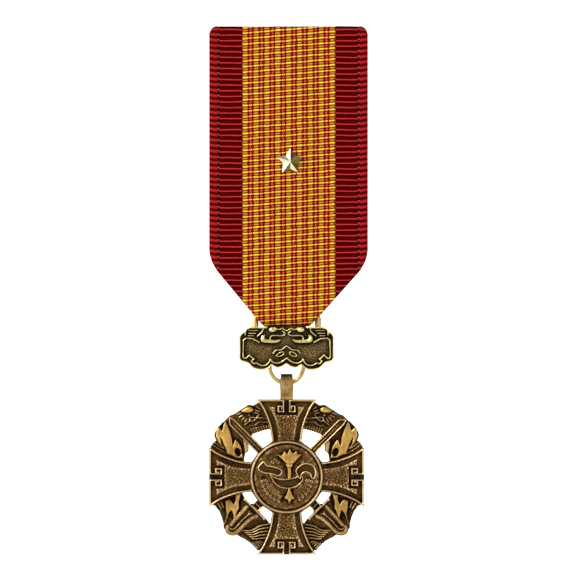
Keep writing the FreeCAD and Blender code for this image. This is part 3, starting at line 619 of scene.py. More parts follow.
# The suspension plate's top is a little higher than in the CAD, so that no light shows above it.
HANGER_LIFT = 0.05
HANGER_PLACE = np.array([(HANGER_LOW[0] + HANGER_HIGH[0]) / 2, 0.0, HANGER_HIGH[2] + HANGER_LIFT])
BAR = np.array(JOINTS["hanger_swing"]["pos_m"]) / MM
DISC_RADIUS = (DISC_HIGH[0] - DISC_LOW[0]) / 2


# ---- ribbon ----

RIBBON_HALF = RIBBON_HIGH[0]
RIBBON_TOP = RIBBON_HIGH[2]
RIBBON_FRONT = RIBBON_LOW[1]
# The room that a layer of ribbon and the brooch plate take in the CAD, and the cloth as shown.
RIBBON_LAYER = 0.33
BROOCH_PLATE_THICK = 0.6
CLOTH_THICK = 0.3


def ribbon_path(step):
    """The strip's outer face seen from the side, as (y, z) points, and its normals there.

    It starts behind the brooch plate, and runs over the plate, down the front, round the bar and up
    behind to where it is stitched to the front.
    """
    over_plate = RIBBON_FRONT + RIBBON_LAYER + BROOCH_PLATE_THICK
    turnover = over_plate + RIBBON_LAYER
    turnover_end = 1.6
    bend_z = RIBBON_TOP - RIBBON_LAYER
    _, bar_y, bar_z = BAR
    fold = bar_y - RIBBON_FRONT
    tail_y = RIBBON_FRONT + 2 * RIBBON_LAYER
    tail_low = -14.5
    tail_high = -12.0
    points = []
    normals = []

    def line(a, b, normal):
        count = max(int(math.dist(a, b) / step), 1)
        for i in range(count):
            t = i / count
            points.append((a[0] + (b[0] - a[0]) * t, a[1] + (b[1] - a[1]) * t))
            normals.append(normal)

    def arc(centre, radius, first, last):
        count = max(int(abs(last - first) * radius / step), 4)
        for i in range(count):
            angle = first + (last - first) * i / count
            points.append((centre[0] + radius * math.cos(angle), centre[1] + radius * math.sin(angle)))
            normals.append((math.cos(angle), math.sin(angle)))

    line((turnover, turnover_end), (turnover, bend_z), (1.0, 0.0))
    arc((over_plate, bend_z), RIBBON_LAYER, 0.0, math.pi / 2)
    line((over_plate, RIBBON_TOP), (RIBBON_FRONT + RIBBON_LAYER, RIBBON_TOP), (0.0, 1.0))
    arc((RIBBON_FRONT + RIBBON_LAYER, bend_z), RIBBON_LAYER, math.pi / 2, math.pi)
    line((RIBBON_FRONT, bend_z), (RIBBON_FRONT, bar_z), (-1.0, 0.0))
    arc((bar_y, bar_z), fold, math.pi, 2 * math.pi)
    lean = math.atan2(bar_y + fold - tail_y, tail_low - bar_z)
    line((bar_y + fold, bar_z), (tail_y, tail_low), (math.cos(lean), math.sin(lean)))
    line((tail_y, tail_low), (tail_y, tail_high), (1.0, 0.0))
    points.append((tail_y, tail_high))
    normals.append((1.0, 0.0))
    return np.array(points), np.array(normals)


def running_length(points):
    return np.concatenate([[0.0], np.cumsum(np.linalg.norm(np.diff(points, axis=0), axis=1))])


def ribbon_sides(z):
    """Left and right edges of the strip at a height: straight, then narrowing to a folded-in foot."""
    left = np.full(z.shape, -RIBBON_HALF)
    right = np.full(z.shape, RIBBON_HALF)
    foot_half = 2.55
    heights = [-29.06, -22.8, -21.9, -21.2, -20.6]
    insets = [0.8, 0.3, 0.07, 0.0]
    low = z < heights[-1]
    left[low] = np.interp(z[low], heights, [MEDAL[0] - foot_half] + [d - RIBBON_HALF for d in insets])
    right[low] = np.interp(z[low], heights, [MEDAL[0] + foot_half] + [RIBBON_HALF - d for d in insets])
    return left, right


def corner_drop(across, z):
    """How far the strip comes down at its top corners, where it is drawn over the plate's round ones."""
    corner = 0.9
    # Short of the arc's upright end, where the rows would fall together.
    reach = 0.97 * corner
    past = np.clip(np.abs(across) - (RIBBON_HALF - corner), 0.0, reach)
    share = np.clip((z - RIBBON_TOP) / corner + 1.0, 0.0, 1.0)
    return (corner - np.sqrt(corner ** 2 - past ** 2)) * share


def rib_height(across, along):
    """The ribs as the weaving leaves them: level at the sides, climbing across the middle."""
    in_band = np.abs(across - BAND_MIDDLE) < BAND_HALF
    shifted = along + np.where(in_band, across * BAND_CLIMB, 0.0)
    shifted = shifted + SELVAGE_DROOP * np.maximum(np.abs(across) - SELVAGE_IN, 0.0)
    return np.cos(TURN * shifted / RIB_PITCH)


def cloth_piece(name, points, normals, across, along, outer, inner, picks, drop=0.0):
    """A strip along a path: its outer face, its inner face, and the edges between them.

    outer and inner are how far each face stands off the path along the normals, and drop is how far
    both hang below it. picks are the columns that the inner face has.
    """
    def face(off):
        y = points[:, :1] + normals[:, :1] * off
        z = points[:, 1:] - drop + normals[:, 1:] * off
        return np.stack(np.broadcast_arrays(across, y, z), axis=-1)

    rows, columns = across.shape
    few = len(picks)
    verts = np.concatenate([face(outer).reshape(-1, 3), face(inner)[:, picks].reshape(-1, 3)])
    a = np.arange(rows * columns).reshape(rows, columns)
    b = np.arange(rows * few).reshape(rows, few) + rows * columns
    quads = np.concatenate([
        np.stack([a[:-1, :-1], a[1:, :-1], a[1:, 1:], a[:-1, 1:]], -1).reshape(-1, 4),
        np.stack([b[:-1, :-1], b[:-1, 1:], b[1:, 1:], b[1:, :-1]], -1).reshape(-1, 4),
        np.stack([a[:-1, 0], b[:-1, 0], b[1:, 0], a[1:, 0]], -1),
        np.stack([a[:-1, -1], a[1:, -1], b[1:, -1], b[:-1, -1]], -1),
    ])
    faces = [list(quad) for quad in quads]
    faces.append(list(a[0]) + list(b[0][::-1]))
    faces.append(list(a[-1][::-1]) + list(b[-1]))
    attributes = {
        "across": np.concatenate([across.ravel(), across[:, picks].ravel()]),
        "along": np.concatenate([along.ravel(), along[:, picks].ravel()]),
    }
    piece = new_piece(name, verts, faces, RIBBON, attributes, 70.0)
    finish_piece(piece, "brooch", "ribbon", "ribbon")
    return piece


def make_ribbon():
    """The strip itself, with its ribs, corded edges and slight waves."""
    columns = 132
    points, normals = ribbon_path(RIB_PITCH / 7)
    run = running_length(points)
    left, right = ribbon_sides(points[:, 1])
    across = left[:, None] + (right - left)[:, None] * np.linspace(0, 1, columns)[None, :]
    start = run[np.argmax(points[:, 0] <= RIBBON_FRONT + 1e-6)]
    along = np.repeat((run - start)[:, None], columns, 1)

    ribs = rib_height(across, along)
    random = np.random.default_rng(11)
    wave = blurred(random.standard_normal(across.shape), 9)
    wave = wave / wave.std() * 0.012
    cord = 0.03 * smooth((np.abs(across) - SELVAGE_IN) / 0.15)
    seam = 0.04 * np.exp(-((np.abs(across) - SELVAGE_IN) / 0.08) ** 2)
    warp = 0.008 * np.cos(TURN * across / WARP_PITCH)
    from_edge = np.minimum(across - left[:, None], right[:, None] - across)
    rounding = (1 - smooth(from_edge / 0.3)) ** 2
    outer = 0.05 * ribs - 0.018 + cord - seam + warp + wave - 0.12 * rounding
    inner = -CLOTH_THICK + 0.02 * ribs + 0.1 * rounding
    picks = np.concatenate([np.linspace(0, columns - 1, 12), [1, 3, 5], columns - np.array([6, 4, 2])])
    picks = np.unique(picks).astype(int)
    drop = corner_drop(across, points[:, 1:])
    piece = cloth_piece("ribbon_cloth", points, normals, across, along, outer, inner, picks, drop)


def make_ribbon_tucks():
    """The ribbon's sides, folded in under the front and round the wire with it."""
    columns = 80
    steps = 30
    lean = 0.128
    foot_half = 3.0
    foot_above_bar = 0.45
    inset = 0.12
    _, bar_y, bar_z = BAR
    arc = [math.pi + math.pi * i / 24 for i in range(25)]
    for layer in range(2):
        radius = bar_y - RIBBON_FRONT - RIBBON_LAYER * (layer + 1)
        rise = 4.2 - 0.2 * layer
        points = [(bar_y - radius, bar_z + rise * (1 - i / steps)) for i in range(steps)]
        points += [(bar_y + radius * math.cos(t), bar_z + radius * math.sin(t)) for t in arc]
        points += [(bar_y + radius - rise * lean * (i + 1) / steps, bar_z + rise * (i + 1) / steps)
                   for i in range(steps)]
        normals = [(-1.0, 0.0)] * steps + [(math.cos(t), math.sin(t)) for t in arc]
        normals += [(math.cos(lean), math.sin(lean))] * steps
        points, normals = np.array(points), np.array(normals)
        run = running_length(points)
        left, right = ribbon_sides(points[:, 1])
        at_foot = points[:, 1] < bar_z + foot_above_bar
        left = np.where(at_foot, np.maximum(left, MEDAL[0] - foot_half), left + inset)
        right = np.where(at_foot, np.minimum(right, MEDAL[0] + foot_half), right - inset)
        width = right - left
        across = left[:, None] + width[:, None] * np.linspace(0, 1, columns)
        along = np.repeat(run[:, None], columns, 1)
        ribs = 0.02 * np.cos(TURN * along / RIB_PITCH) - 0.02
        piece = cloth_piece("ribbon_tuck_%d" % (layer + 1), points, normals, across, along, ribs,
                            -CLOTH_THICK, np.arange(columns))


# ---- suspension plate ----


def make_suspension_plate():
    """A cartouche: a double rim, corner scrolls, crescents and a small leaf in the middle."""
    relief = Relief((-5.6, -5.0), (5.6, 0.3), 0.036, 21)
    half = [(-2.5, 0.0), (-4.05, 0.0), (-4.45, -0.12), (-4.72, -0.5), (-5.06, -0.72), (-5.25, -1.08),
            (-5.25, -3.42), (-5.1, -3.72), (-4.7, -3.86), (-4.35, -3.95)]
    half += curve([(-4.2, -4.05), (-3.77, -4.48), (-3.2, -4.68), (-2.5, -4.72), (-1.98, -4.52),
                   (-1.65, -4.22)])
    half += curve([(-1.62, -4.22), (-1.2, -4.46), (-0.75, -4.48), (-0.32, -4.32), (-0.02, -4.12)])
    edge = signed_distance(relief.x, relief.z, whole(half))

    # The raised rim is left out in the middle of the top, where the scrolls reach the edge.
    rim_height = 0.22
    below_top = (-0.3 - relief.z) / 0.2
    rim = smooth(1.0 + (edge + 0.1) / 0.12) * smooth(np.maximum((np.abs(relief.x) - 1.9) / 0.5, below_top))
    relief.h = rim_height * rim
    relief.rubbed = smooth(1.0 + (edge + 0.14) / 0.08)
    relief.rubbed *= smooth(np.maximum((np.abs(relief.x) - 2.2) / 0.3, below_top))
    relief.pebbles(edge < -0.34, 0.019, 0.04, 0.09)

    corner = [(-3.0, -1.66), (-3.4, -1.45), (-3.77, -1.26), (-4.5, -1.23), (-4.77, -1.45), (-4.8, -3.25),
              (-4.7, -3.42), (-4.51, -3.44), (-4.1, -3.07), (-3.85, -3.33), (-3.59, -3.51), (-3.88, -3.73),
              (-3.66, -4.0), (-3.3, -3.96)]
    outer_scallop = curve([(-3.3, -3.96), (-2.78, -4.22), (-2.26, -4.14), (-1.95, -3.86), (-1.82, -3.51)])
    inner_scallop = curve([(-1.82, -3.51), (-1.52, -3.84), (-1.05, -3.95), (-0.53, -3.8), (0.0, -3.4)])
    shoulder = [(-2.5, -0.08), (-4.07, -0.1), (-4.45, -0.3), (-4.56, -0.62), (-4.56, -0.86)]
    tongue = curve([(-2.56, -0.05), (-2.7, -0.5), (-3.22, -0.97)])
    brow = curve([(-1.3, -0.12), (-0.9, -0.27), (-0.46, -0.18), (0.0, -0.42)])
    hook = curve([(-0.46, -0.45), (-0.2, -0.68), (-0.46, -0.93), (-1.49, -0.93), (-1.78, -1.08),
                  (-1.82, -1.36)])
    stem = curve([(-1.49, -2.89), (-1.19, -2.55), (-0.6, -2.48), (-0.01, -2.07)])
    leaf = curve([(-1.12, -3.16), (-0.78, -2.8), (-0.38, -2.74), (-0.35, -2.96), (-0.68, -3.2)], True)
    boss = ring_points(0.42, 20, -1.56, -0.3, 0.62)
    crescent = curve([(-2.35, -0.86), (-2.72, -0.9), (-2.88, -1.3), (-2.7, -1.66), (-1.93, -1.75),
                      (-1.02, -1.71), (-0.62, -1.34), (-1.19, -1.4), (-1.93, -1.34), (-2.33, -1.28),
                      (-2.42, -1.08)], True)
    bars = [[(x_out, z), (x_in, z)] for x_out, x_in, z in (
        (-4.18, -3.22, -0.38), (-4.18, -3.44, -0.68), (-4.2, -3.66, -0.95))]
    for side in BOTH_SIDES:
        for points in (corner, outer_scallop, inner_scallop):
            relief.ridge(side(points), 0.17, 0.2)
        for points, width in ((shoulder, 0.16), (tongue, 0.15)):
            relief.ridge(side(points), width, 0.19)
        for points in (hook, stem):
            relief.ridge(side(points), 0.14, 0.17)
        for points in bars:
            relief.ridge(side(points), 0.13, 0.17)
        relief.ridge(side(brow), 0.15, 0.17, polish=0.7)
        relief.ridge(side(leaf), 0.12, 0.15, closed=True)
        relief.plateau(side(boss), 0.15, 0.08, polish=1.0, crown=0.09)
        relief.plateau(side(crescent), 0.17, 0.07, polish=1.0, crown=0.1)

    front = -HANGER_LOW[1] - rim_height
    back = -HANGER_HIGH[1]
    piece = relief_piece("suspension_cartouche", relief, edge, front, back, HANGER_PLACE, PLATE, 0.05)
    add_lip(piece, -0.5 * (front + back))
    finish_piece(piece, "hanger", "dark_bronze", "suspension_plate")


def add_lip(piece, middle_y):
    """Raises the middle of the plate's top edge, on its front half only, up to the ribbon."""
    height = 0.08
    half_width = 2.5
    points = np.empty(3 * len(piece.data.vertices))
    piece.data.vertices.foreach_get("co", points)
    x, y, z = (points.reshape(-1, 3) / MM - HANGER_PLACE).T
    lip = height * smooth((half_width - np.abs(x)) / 0.3) * smooth(1.0 + z / 0.2) * (y < middle_y)
    points[2::3] += lip * MM
    piece.data.vertices.foreach_set("co", points)


# ---- ribbon loop ----


def make_loop():
    """One bent wire: a bar that the ribbon hangs on, and a slightly stouter leg at either end."""
    bar_radius = 0.29
    leg_radius = 0.35
    bend = 0.5
    inset = 0.03
    foot_gap = 0.1
    left = LOOP_LOW[0] + leg_radius + inset
    right = LOOP_HIGH[0] - leg_radius - inset
    middle = (left + right) / 2
    bar_z = BAR[2]
    foot = LOOP_LOW[2] + foot_gap
    rings = [(left, foot + (bar_z - bend - foot) * k / 9, leg_radius) for k in range(9)]
    for k in range(13):
        angle = math.pi - 0.5 * math.pi * k / 12
        radius = leg_radius + (bar_radius - leg_radius) * k / 12
        rings.append((left + bend + bend * math.cos(angle), bar_z - bend + bend * math.sin(angle), radius))
    rings += [(middle, bar_z, bar_radius)] + [(2 * middle - x, z, radius) for x, z, radius in reversed(rings)]
    count = 28
    verts = []
    for i, (x, z, radius) in enumerate(rings):
        before, after = rings[max(i - 1, 0)], rings[min(i + 1, len(rings) - 1)]
        tangent = Vector((after[0] - before[0], 0.0, after[1] - before[1])).normalized()
        side = tangent.cross(Vector((0.0, 1.0, 0.0)))
        for k in range(count):
            angle = TURN * k / count
            point = side * (radius * math.cos(angle)) + Vector((0.0, radius * math.sin(angle), 0.0))
            verts.append((x + point.x, BAR[1] + point.y, z + point.z))
    faces = [list(range(count))]
    for i in range(len(rings) - 1):
        for k in range(count):
            a, b = i * count + k, i * count + (k + 1) % count
            faces.append((b, a, a + count, b + count))
    faces.append(list(range((len(rings) - 1) * count, len(rings) * count))[::-1])
    piece = new_piece("loop_wire", verts, faces, PALE_WIRE)
    finish_piece(piece, "hanger", "light_bronze", "ribbon_loop")


# ---- cross ----


def make_cross():
    """Flared arms with a square-turned border line and a stippled panel."""
    arm_length = CROSS_HIGH[0] - MEDAL[0]
    reach = arm_length + 0.1
    relief = Relief((-reach, -reach), (reach, reach), 0.054, 31)

    # Arms are drawn as (aside, out): aside from an arm's middle line, and out from the medal's centre.
    arm_line = curve([(1.48, 3.9), (1.56, 4.5), (1.71, 5.39), (1.92, 6.1), (2.17, 6.76), (2.55, 7.6),
                      (3.08, arm_length - 0.13)])
    side = [(aside + 0.14, out) for aside, out in arm_line[:-1]] + [(3.24, arm_length)]
    arm = whole(side)
    between_arms = 4.15 * math.sqrt(0.5)
    outline = []
    for k in range(4):
        c, s = round(math.cos(k * math.pi / 2)), round(math.sin(k * math.pi / 2))
        outline += [(aside * c - out * s, aside * s + out * c) for aside, out in arm]
        outline.append((-between_arms * c - between_arms * s, -between_arms * s + between_arms * c))
    edge = signed_distance(relief.x, relief.z, outline)

    aside = np.minimum(np.abs(relief.x), np.abs(relief.z))
    out = np.maximum(np.abs(relief.x), np.abs(relief.z))
    line_height = 0.16
    end = arm_length - 0.12
    key = [(3.08, end), (0.34, end), (0.34, 7.19), (0.91, 7.19), (0.91, 7.79), (0.52, 7.79), (0.52, 7.49)]
    for line, width in ((arm_line, 0.19), (key, 0.18)):
        profile = ridge_profile(path_distance(aside, out, line), width)
        relief.h = np.maximum(relief.h, line_height * profile)
    panel = [(-0.1, 3.6), (0.86, 3.6), (0.98, 5.0), (1.2, 6.1), (1.45, 6.8), (1.95, 7.72), (1.28, 7.72),
             (1.22, 6.86), (-0.1, 6.86)]
    inside = -signed_distance(aside, out, panel)
    relief.h = np.maximum(relief.h, 0.07 * smooth((inside + 0.02) / 0.1))
    relief.pebbles(smooth(inside / 0.08), 0.021, 0.05, 0.1)

    # A beaded line follows the panel's side and the horn at its outer corner.
    beads = 0.5 + 0.5 * np.cos(TURN * (aside + out) / 0.2)
    relief.h += 0.03 * smooth(1.2 - path_distance(aside, out, panel[1:8]) / 0.07) * beads
    relief.pebbles(1.0, 0.005, 0.08, 0.3)
    front = -CROSS_LOW[1] - line_height
    piece = relief_piece("cross_arms", relief, edge, front, -CROSS_HIGH[1], MEDAL, BRONZE)
    finish_piece(piece, "pendant", "dark_bronze", "cross")


# ---- wreath ----


def make_wreath():
    """Openwork of flames and waves between the arms, the same left and right."""
    relief = Relief((-9.6, -8.6), (9.6, 8.9), 0.055, 41)
    half = [(-2.6, 8.1), (-3.19, 8.18), (-3.66, 7.87), (-4.19, 7.95), (-4.92, 7.5), (-5.72, 6.98),
            (-6.3, 6.75), (-6.66, 6.38), (-7.52, 5.58), (-7.9, 4.95), (-7.99, 4.5), (-7.79, 4.04),
            (-8.26, 3.64), (-8.42, 3.2), (-8.1, 2.4), (-8.1, -2.4), (-8.32, -3.02), (-7.99, -3.16),
            (-7.46, -3.76), (-7.15, -4.5), (-6.99, -5.09), (-6.96, -5.69), (-6.4, -6.2), (-5.52, -6.36),
            (-5.19, -6.62), (-4.6, -6.9), (-4.19, -7.16), (-3.7, -7.6), (-3.25, -8.1), (-2.6, -8.1)]
    hole_half = [(-1.2, 5.35), (-1.82, 5.28), (-2.79, 5.04), (-3.72, 4.71), (-4.19, 3.9), (-4.19, 2.85),
                 (-4.55, 2.6), (-4.66, 2.1), (-4.72, 1.4), (-4.95, 0.4), (-4.95, -0.8), (-4.9, -1.75),
                 (-4.6, -2.35), (-4.1, -2.95), (-2.95, -3.95), (-2.15, -4.75), (-1.9, -5.1), (-1.2, -5.2)]
    outside = signed_distance(relief.x, relief.z, whole(half))
    in_hole = -signed_distance(relief.x, relief.z, whole(hole_half))
    edge = np.maximum(outside, in_hole)
    relief.pebbles(1.0, 0.01, 0.08, 0.3)

    # Bright shapes: a tear and a flame with an oval opening above, a forked flame below.
    tear = curve([(-4.99, 7.18), (-4.66, 7.55), (-4.06, 7.74), (-3.66, 7.5), (-3.72, 7.2),
                  (-4.26, 7.06)], True)
    flame = [(-6.76, 6.18), (-6.5, 5.75), (-6.3, 5.2), (-6.06, 4.38), (-5.92, 3.45), (-5.66, 4.18),
             (-5.3, 3.8), (-5.02, 3.3), (-4.79, 2.04), (-5.6, 2.05), (-6.19, 2.38), (-6.52, 2.45),
             (-6.85, 3.3), (-7.1, 3.98), (-7.3, 4.3), (-7.1, 3.2), (-7.45, 3.8), (-7.82, 4.44),
             (-7.79, 5.11), (-7.52, 5.5), (-7.12, 5.11), (-6.95, 5.8)]
    opening = ring_points(0.36, 20, -5.38, 2.72, 1.45, 0.35)
    lobe = [(-4.79, 4.11), (-4.45, 3.95), (-4.22, 3.7), (-4.22, 2.9), (-4.59, 2.64), (-4.72, 3.4)]
    fork = [(-6.79, -2.62), (-6.39, -2.42), (-6.02, -2.72), (-5.86, -3.02), (-5.68, -2.62), (-5.62, -1.9),
            (-5.06, -1.72), (-5.09, -2.22), (-5.26, -2.76), (-5.22, -3.49), (-5.46, -3.89), (-5.59, -4.69),
            (-5.88, -5.02), (-5.84, -4.29), (-6.06, -3.69), (-6.36, -4.02), (-6.5, -4.42), (-6.72, -5.1),
            (-6.92, -5.3), (-6.68, -4.56), (-6.62, -4.02), (-6.72, -3.42)]

    # Lines, as (points, width, height).
    lines = [
        ([(-4.69, 5.68), (-4.09, 6.18), (-4.02, 6.54), (-3.59, 6.54), (-2.2, 6.46)], 0.12, 0.14),
        ([(-3.06, 6.86), (-3.35, 6.45), (-3.79, 6.11), (-4.06, 6.2)], 0.12, 0.14),
        ([(-4.06, 5.64), (-3.59, 5.64), (-3.06, 6.04), (-2.0, 6.01)], 0.12, 0.14),
        ([(-8.2, 3.56), (-7.64, 3.14), (-7.05, 2.8), (-6.47, 2.5)], 0.12, 0.13),
        ([(-7.98, 3.8), (-7.32, 3.34), (-6.85, 3.06)], 0.1, 0.12),
        ([(-7.72, 4.07), (-7.3, 3.6), (-6.98, 3.24)], 0.1, 0.12),
        ([(-5.75, 5.65), (-5.1, 4.95), (-4.6, 4.35)], 0.1, 0.08),
        ([(-7.56, -2.92), (-7.22, -3.49)], 0.12, 0.13),
        ([(-7.26, -2.72), (-6.95, -3.36)], 0.12, 0.13),
        ([(-7.85, -3.2), (-7.35, -4.1), (-7.1, -4.9)], 0.1, 0.08),
    ]
    rays = (((-5.06, 7.04), (-5.46, 6.88)), ((-4.86, 6.76), (-5.22, 6.58)), ((-4.7, 6.54), (-4.97, 6.2)),
            ((-4.39, 6.42), (-4.62, 6.02)), ((-3.59, 7.08), (-3.15, 7.0)), ((-3.42, 7.34), (-2.95, 7.18)),
            ((-3.25, 7.7), (-2.85, 7.42)), ((-4.12, 6.75), (-4.2, 6.9)))
    lines += [(list(ray), 0.12, 0.13) for ray in rays]
    for k in range(8):
        x, z = -3.9 + 1.9 * k / 7, 5.3 + 0.36 * k / 7
        lines.append(([(x, z), (x + 0.16, z - 0.42)], 0.1, 0.12))
    for k in range(5):
        wave = [(-2.0, -5.22 - 0.37 * k), (-3.0, -5.42 - 0.34 * k), (-3.85 + 0.1 * k, -5.88 - 0.24 * k),
                (-4.8 + 0.25 * k, -5.9 - 0.22 * k)]
        lines.append((curve(wave), 0.17, 0.17))
    for k in range(4):
        foam = [(-3.72 + 0.24 * k, -7.28 + 0.06 * k), (-3.2 + 0.2 * k, -7.85 + 0.2 * k)]
        lines.append((foam, 0.12, 0.14))

    for side in BOTH_SIDES:
        for points, width, height in lines:
            relief.ridge(side(points), width, height)
        relief.plateau(side(tear), 0.16, 0.09, polish=1.0, crown=0.08)
        relief.plateau(side(flame), 0.17, 0.08, polish=1.0, crown=0.05)
        relief.plateau(side(fork), 0.17, 0.08, polish=1.0, crown=0.05)
        relief.plateau(side(lobe), 0.15, 0.08, polish=0.8)
        relief.sink(side(opening), 0.2, 0.09)
    front = -WREATH_LOW[1]
    back = -WREATH_HIGH[1]
    piece = relief_piece("wreath_relief", relief, edge, front, back, MEDAL, BRONZE)
    finish_piece(piece, "pendant", "dark_bronze", "openwork_wreath")


# ---- swords ----


def make_sword(name, node, degrees, hook):
    """Blade up, hilt down: a ridged blade, a guard bar, a fluted grip and a hooked pommel.

    hook is 1 where the hilt is bowed towards -X and hooked towards +X, and -1 the other way round.
    """
    relief = Relief((-2.4, -9.6), (2.4, 9.6), 0.045, 51)
    half = 0.425
    hilt_top = -4.0
    blade = [(half, hilt_top), (half, 8.5), (0.25, 9.15), (-0.18, 8.85), (-half, 8.45), (-half, hilt_top)]
    block = whole([(0.5, -3.95), (0.5, -4.95)])
    guard = [(-1.55, -4.9), (1.55, -4.9), (1.7, -5.03), (1.55, -5.18), (-1.55, -5.18), (-1.7, -5.03)]

    def bent(points):
        return [(x * hook, z) for x, z in points]

    straight_bar = bent([(0.78, -5.38), (0.72, -6.2), (0.67, -7.4), (0.6, -8.1)])
    bowed_bar = curve(bent([(-0.74, -5.4), (-0.52, -5.95), (-0.44, -6.7), (-0.42, -8.0), (-0.3, -8.5),
                            (0.1, -8.8), (0.5, -8.76), (0.7, -8.45)]))
    grip = bent([(0.0, -5.0), (0.1, -8.4)])
    edge = np.hypot(relief.x, relief.z + 5.3) - 0.8
    for shape in (blade, block, guard):
        edge = np.minimum(edge, signed_distance(relief.x, relief.z, shape))
    for line, half_width in ((straight_bar, 0.25), (bowed_bar, 0.25), (grip, 0.5)):
        edge = np.minimum(edge, path_distance(relief.x, relief.z, line) - half_width)

    for side in (-1, 1):
        relief.ridge([(side * 0.34, hilt_top), (side * 0.34, 8.5)], 0.13, 0.105)
        relief.ridge([(side * 0.42, -4.85), (side * 0.42, -4.05)], 0.1, 0.14)
        relief.plateau(ring_points(0.14, 14, side * 1.5, -5.04), 0.2, 0.06, crown=0.03)
    for points, width, height in (
        ([(0.34, 8.5), (0.2, 9.05), (-0.15, 8.75), (-0.34, 8.45)], 0.12, 0.11),
        ([(0.0, 3.6), (0.0, 8.1)], 0.1, 0.05),
        ([(-1.5, -5.03), (1.5, -5.03)], 0.16, 0.2),
        ([(-0.45, -4.9), (0.45, -4.9)], 0.12, 0.16),
        ([(-0.45, -4.45), (0.45, -4.45)], 0.1, 0.12),
        (curve(bent([(0.04, -5.85), (0.1, -7.0), (0.03, -8.0), (0.2, -8.36), (0.42, -8.42)])), 0.12, 0.14),
        (bent([(-0.16, -5.55), (0.04, -5.85), (0.22, -5.6)]), 0.1, 0.13),
    ):
        relief.ridge(points, width, height)
    relief.ridge(straight_bar, 0.5, 0.07, polish=0.15)
    relief.ridge(bowed_bar, 0.52, 0.07, polish=0.2)
    relief.pebbles(1.0, 0.008, 0.06, 0.2)
    ridge_room = 0.05
    front = -SWORD_LOW[1] - ridge_room
    back = -SWORD_HIGH[1]
    piece = relief_piece(name, relief, edge, front, back, MEDAL, BRONZE, 0.08, degrees)
    finish_piece(piece, "pendant", "dark_bronze", node)


# ---- centre disc ----


def make_disc():
    """A burning torch, a blank scroll and two branches: all generic."""
    relief = Relief((-4.0, -4.0), (4.0, 4.0), 0.032, 61)
    radius = DISC_RADIUS + 0.02
    edge = np.hypot(relief.x, relief.z) - radius
    relief.pebbles(1.0, 0.012, 0.12, 0.5)
    relief.groove(ring_points(radius - 0.14, 90), 0.18, 0.1, True)

    def leaf(size, x, z, turn, squash=0.62):
        relief.ridge(ring_points(size, 12, x, z, squash, turn), 0.08, 0.045, closed=True)

    def round_foot(side, radius, angle):
        """The place at an angle from the disc's foot, towards a side."""
        return side * radius * math.sin(angle), -radius * math.cos(angle)

    for side in (-1, 1):
        branch = 2.52
        stem = [round_foot(side, branch, t) for t in np.linspace(0.25, 1.5, 16)]
        relief.groove(stem, 0.9, 0.05)
        relief.ridge(stem, 0.08, 0.03)
        for k in range(7):
            t = 0.34 + 0.175 * k
            for out in (-1, 1):
                leaf(0.17, *round_foot(side, branch + out * 0.25, t), side * (t + out * 0.7))
        twig = [round_foot(side, 1.75, t) for t in np.linspace(0.45, 1.15, 8)]
        relief.ridge([(x, z - 0.1) for x, z in twig], 0.08, 0.045)
        for k in range(4):
            t = 0.5 + 0.2 * k
            x, z = round_foot(side, 1.95, t)
            leaf(0.16, x, z - 0.1, side * (t + 0.7))
        for k in range(3):
            leaf(0.17, side * (1.05 + 0.3 * k) + 0.1, 1.9 - 0.25 * abs(k - 1), side * 0.8, 0.7)

    # The torch stands right of the middle: its flames, cup, staff and tassel.
    middle = 0.3
    cup_top = 1.5
    cup_foot = 1.05
    flames = curve([(-0.3, cup_top), (-0.75, 1.9), (-1.32, 2.5), (-0.8, 2.42), (-0.55, 2.85), (-0.2, 2.6),
                    (0.05, 3.08), (0.38, 2.62), (0.78, 2.84), (0.94, 2.5), (1.36, 2.52), (0.85, 1.95),
                    (0.4, cup_top)], True, 4)
    cup = whole([(-0.42, cup_top), (-0.34, 1.2), (-0.2, cup_foot)])
    staff = whole([(-0.2, cup_foot), (-0.13, -1.6)])
    tassel = curve([(-0.14, -1.5), (-0.3, -1.9), (-0.55, -2.35), (-0.2, -2.5), (0.0, -2.95), (0.2, -2.5),
                    (0.55, -2.35), (0.3, -1.9), (0.14, -1.5)], True, 4)
    for shape in (flames, cup, staff, tassel):
        relief.plateau([(middle + x, z) for x, z in shape], 0.15, 0.07, polish=1.0, crown=0.03)
    for x in (-0.55, -0.2, 0.15, 0.5):
        relief.groove([(middle + 0.4 * x, 1.75), (middle + x, 2.35)], 0.06, 0.035)

    # The scroll passes in front: a middle part and two curled ends, with plain hatching.
    scroll = [
        [(-1.82, 0.28), (-1.32, -0.06), (-0.22, -0.28), (0.99, -0.06), (1.5, 0.25), (1.78, -0.28),
         (1.43, -0.72), (0.88, -1.1), (-0.22, -1.2), (-1.21, -0.75)],
        [(-3.14, 0.99), (-2.52, 1.68), (-2.2, 1.27), (-1.32, 1.1), (-0.55, 0.72), (-0.83, 0.17),
         (-1.65, 0.39), (-2.53, 0.5)],
        [(1.05, 0.72), (1.43, 1.21), (2.09, 1.49), (2.86, 1.27), (3.18, 0.6), (3.06, -0.11), (2.75, -0.06),
         (2.6, 0.38), (2.05, 0.6), (1.62, 0.3), (1.5, -0.17), (1.2, 0.25)],
    ]
    for points in scroll:
        shape = curve(points, True, 4)
        part = relief.window(shape, 0.3)
        x, z = relief.x[part], relief.z[part]
        inside = -signed_distance(x, z, shape)
        cover = smooth(1.0 + inside / 0.08)
        relief.h[part] = relief.h[part] * (1 - cover) - 0.035 * cover
        relief.polish[part] *= 1 - cover
        relief.ridge(shape, 0.1, 0.05, closed=True)
        hatching = np.cos(TURN * (x * 0.25 + z) / 0.2)
        relief.h[part] += 0.013 * smooth((inside - 0.1) / 0.08) * hatching
    thick = 0.3
    back = -RIM_HIGH[1]
    piece = relief_piece("disc_relief", relief, edge, back + thick, back, MEDAL, BRONZE, 0.04)
    finish_piece(piece, "pendant", "dark_bronze", "centre_disc")


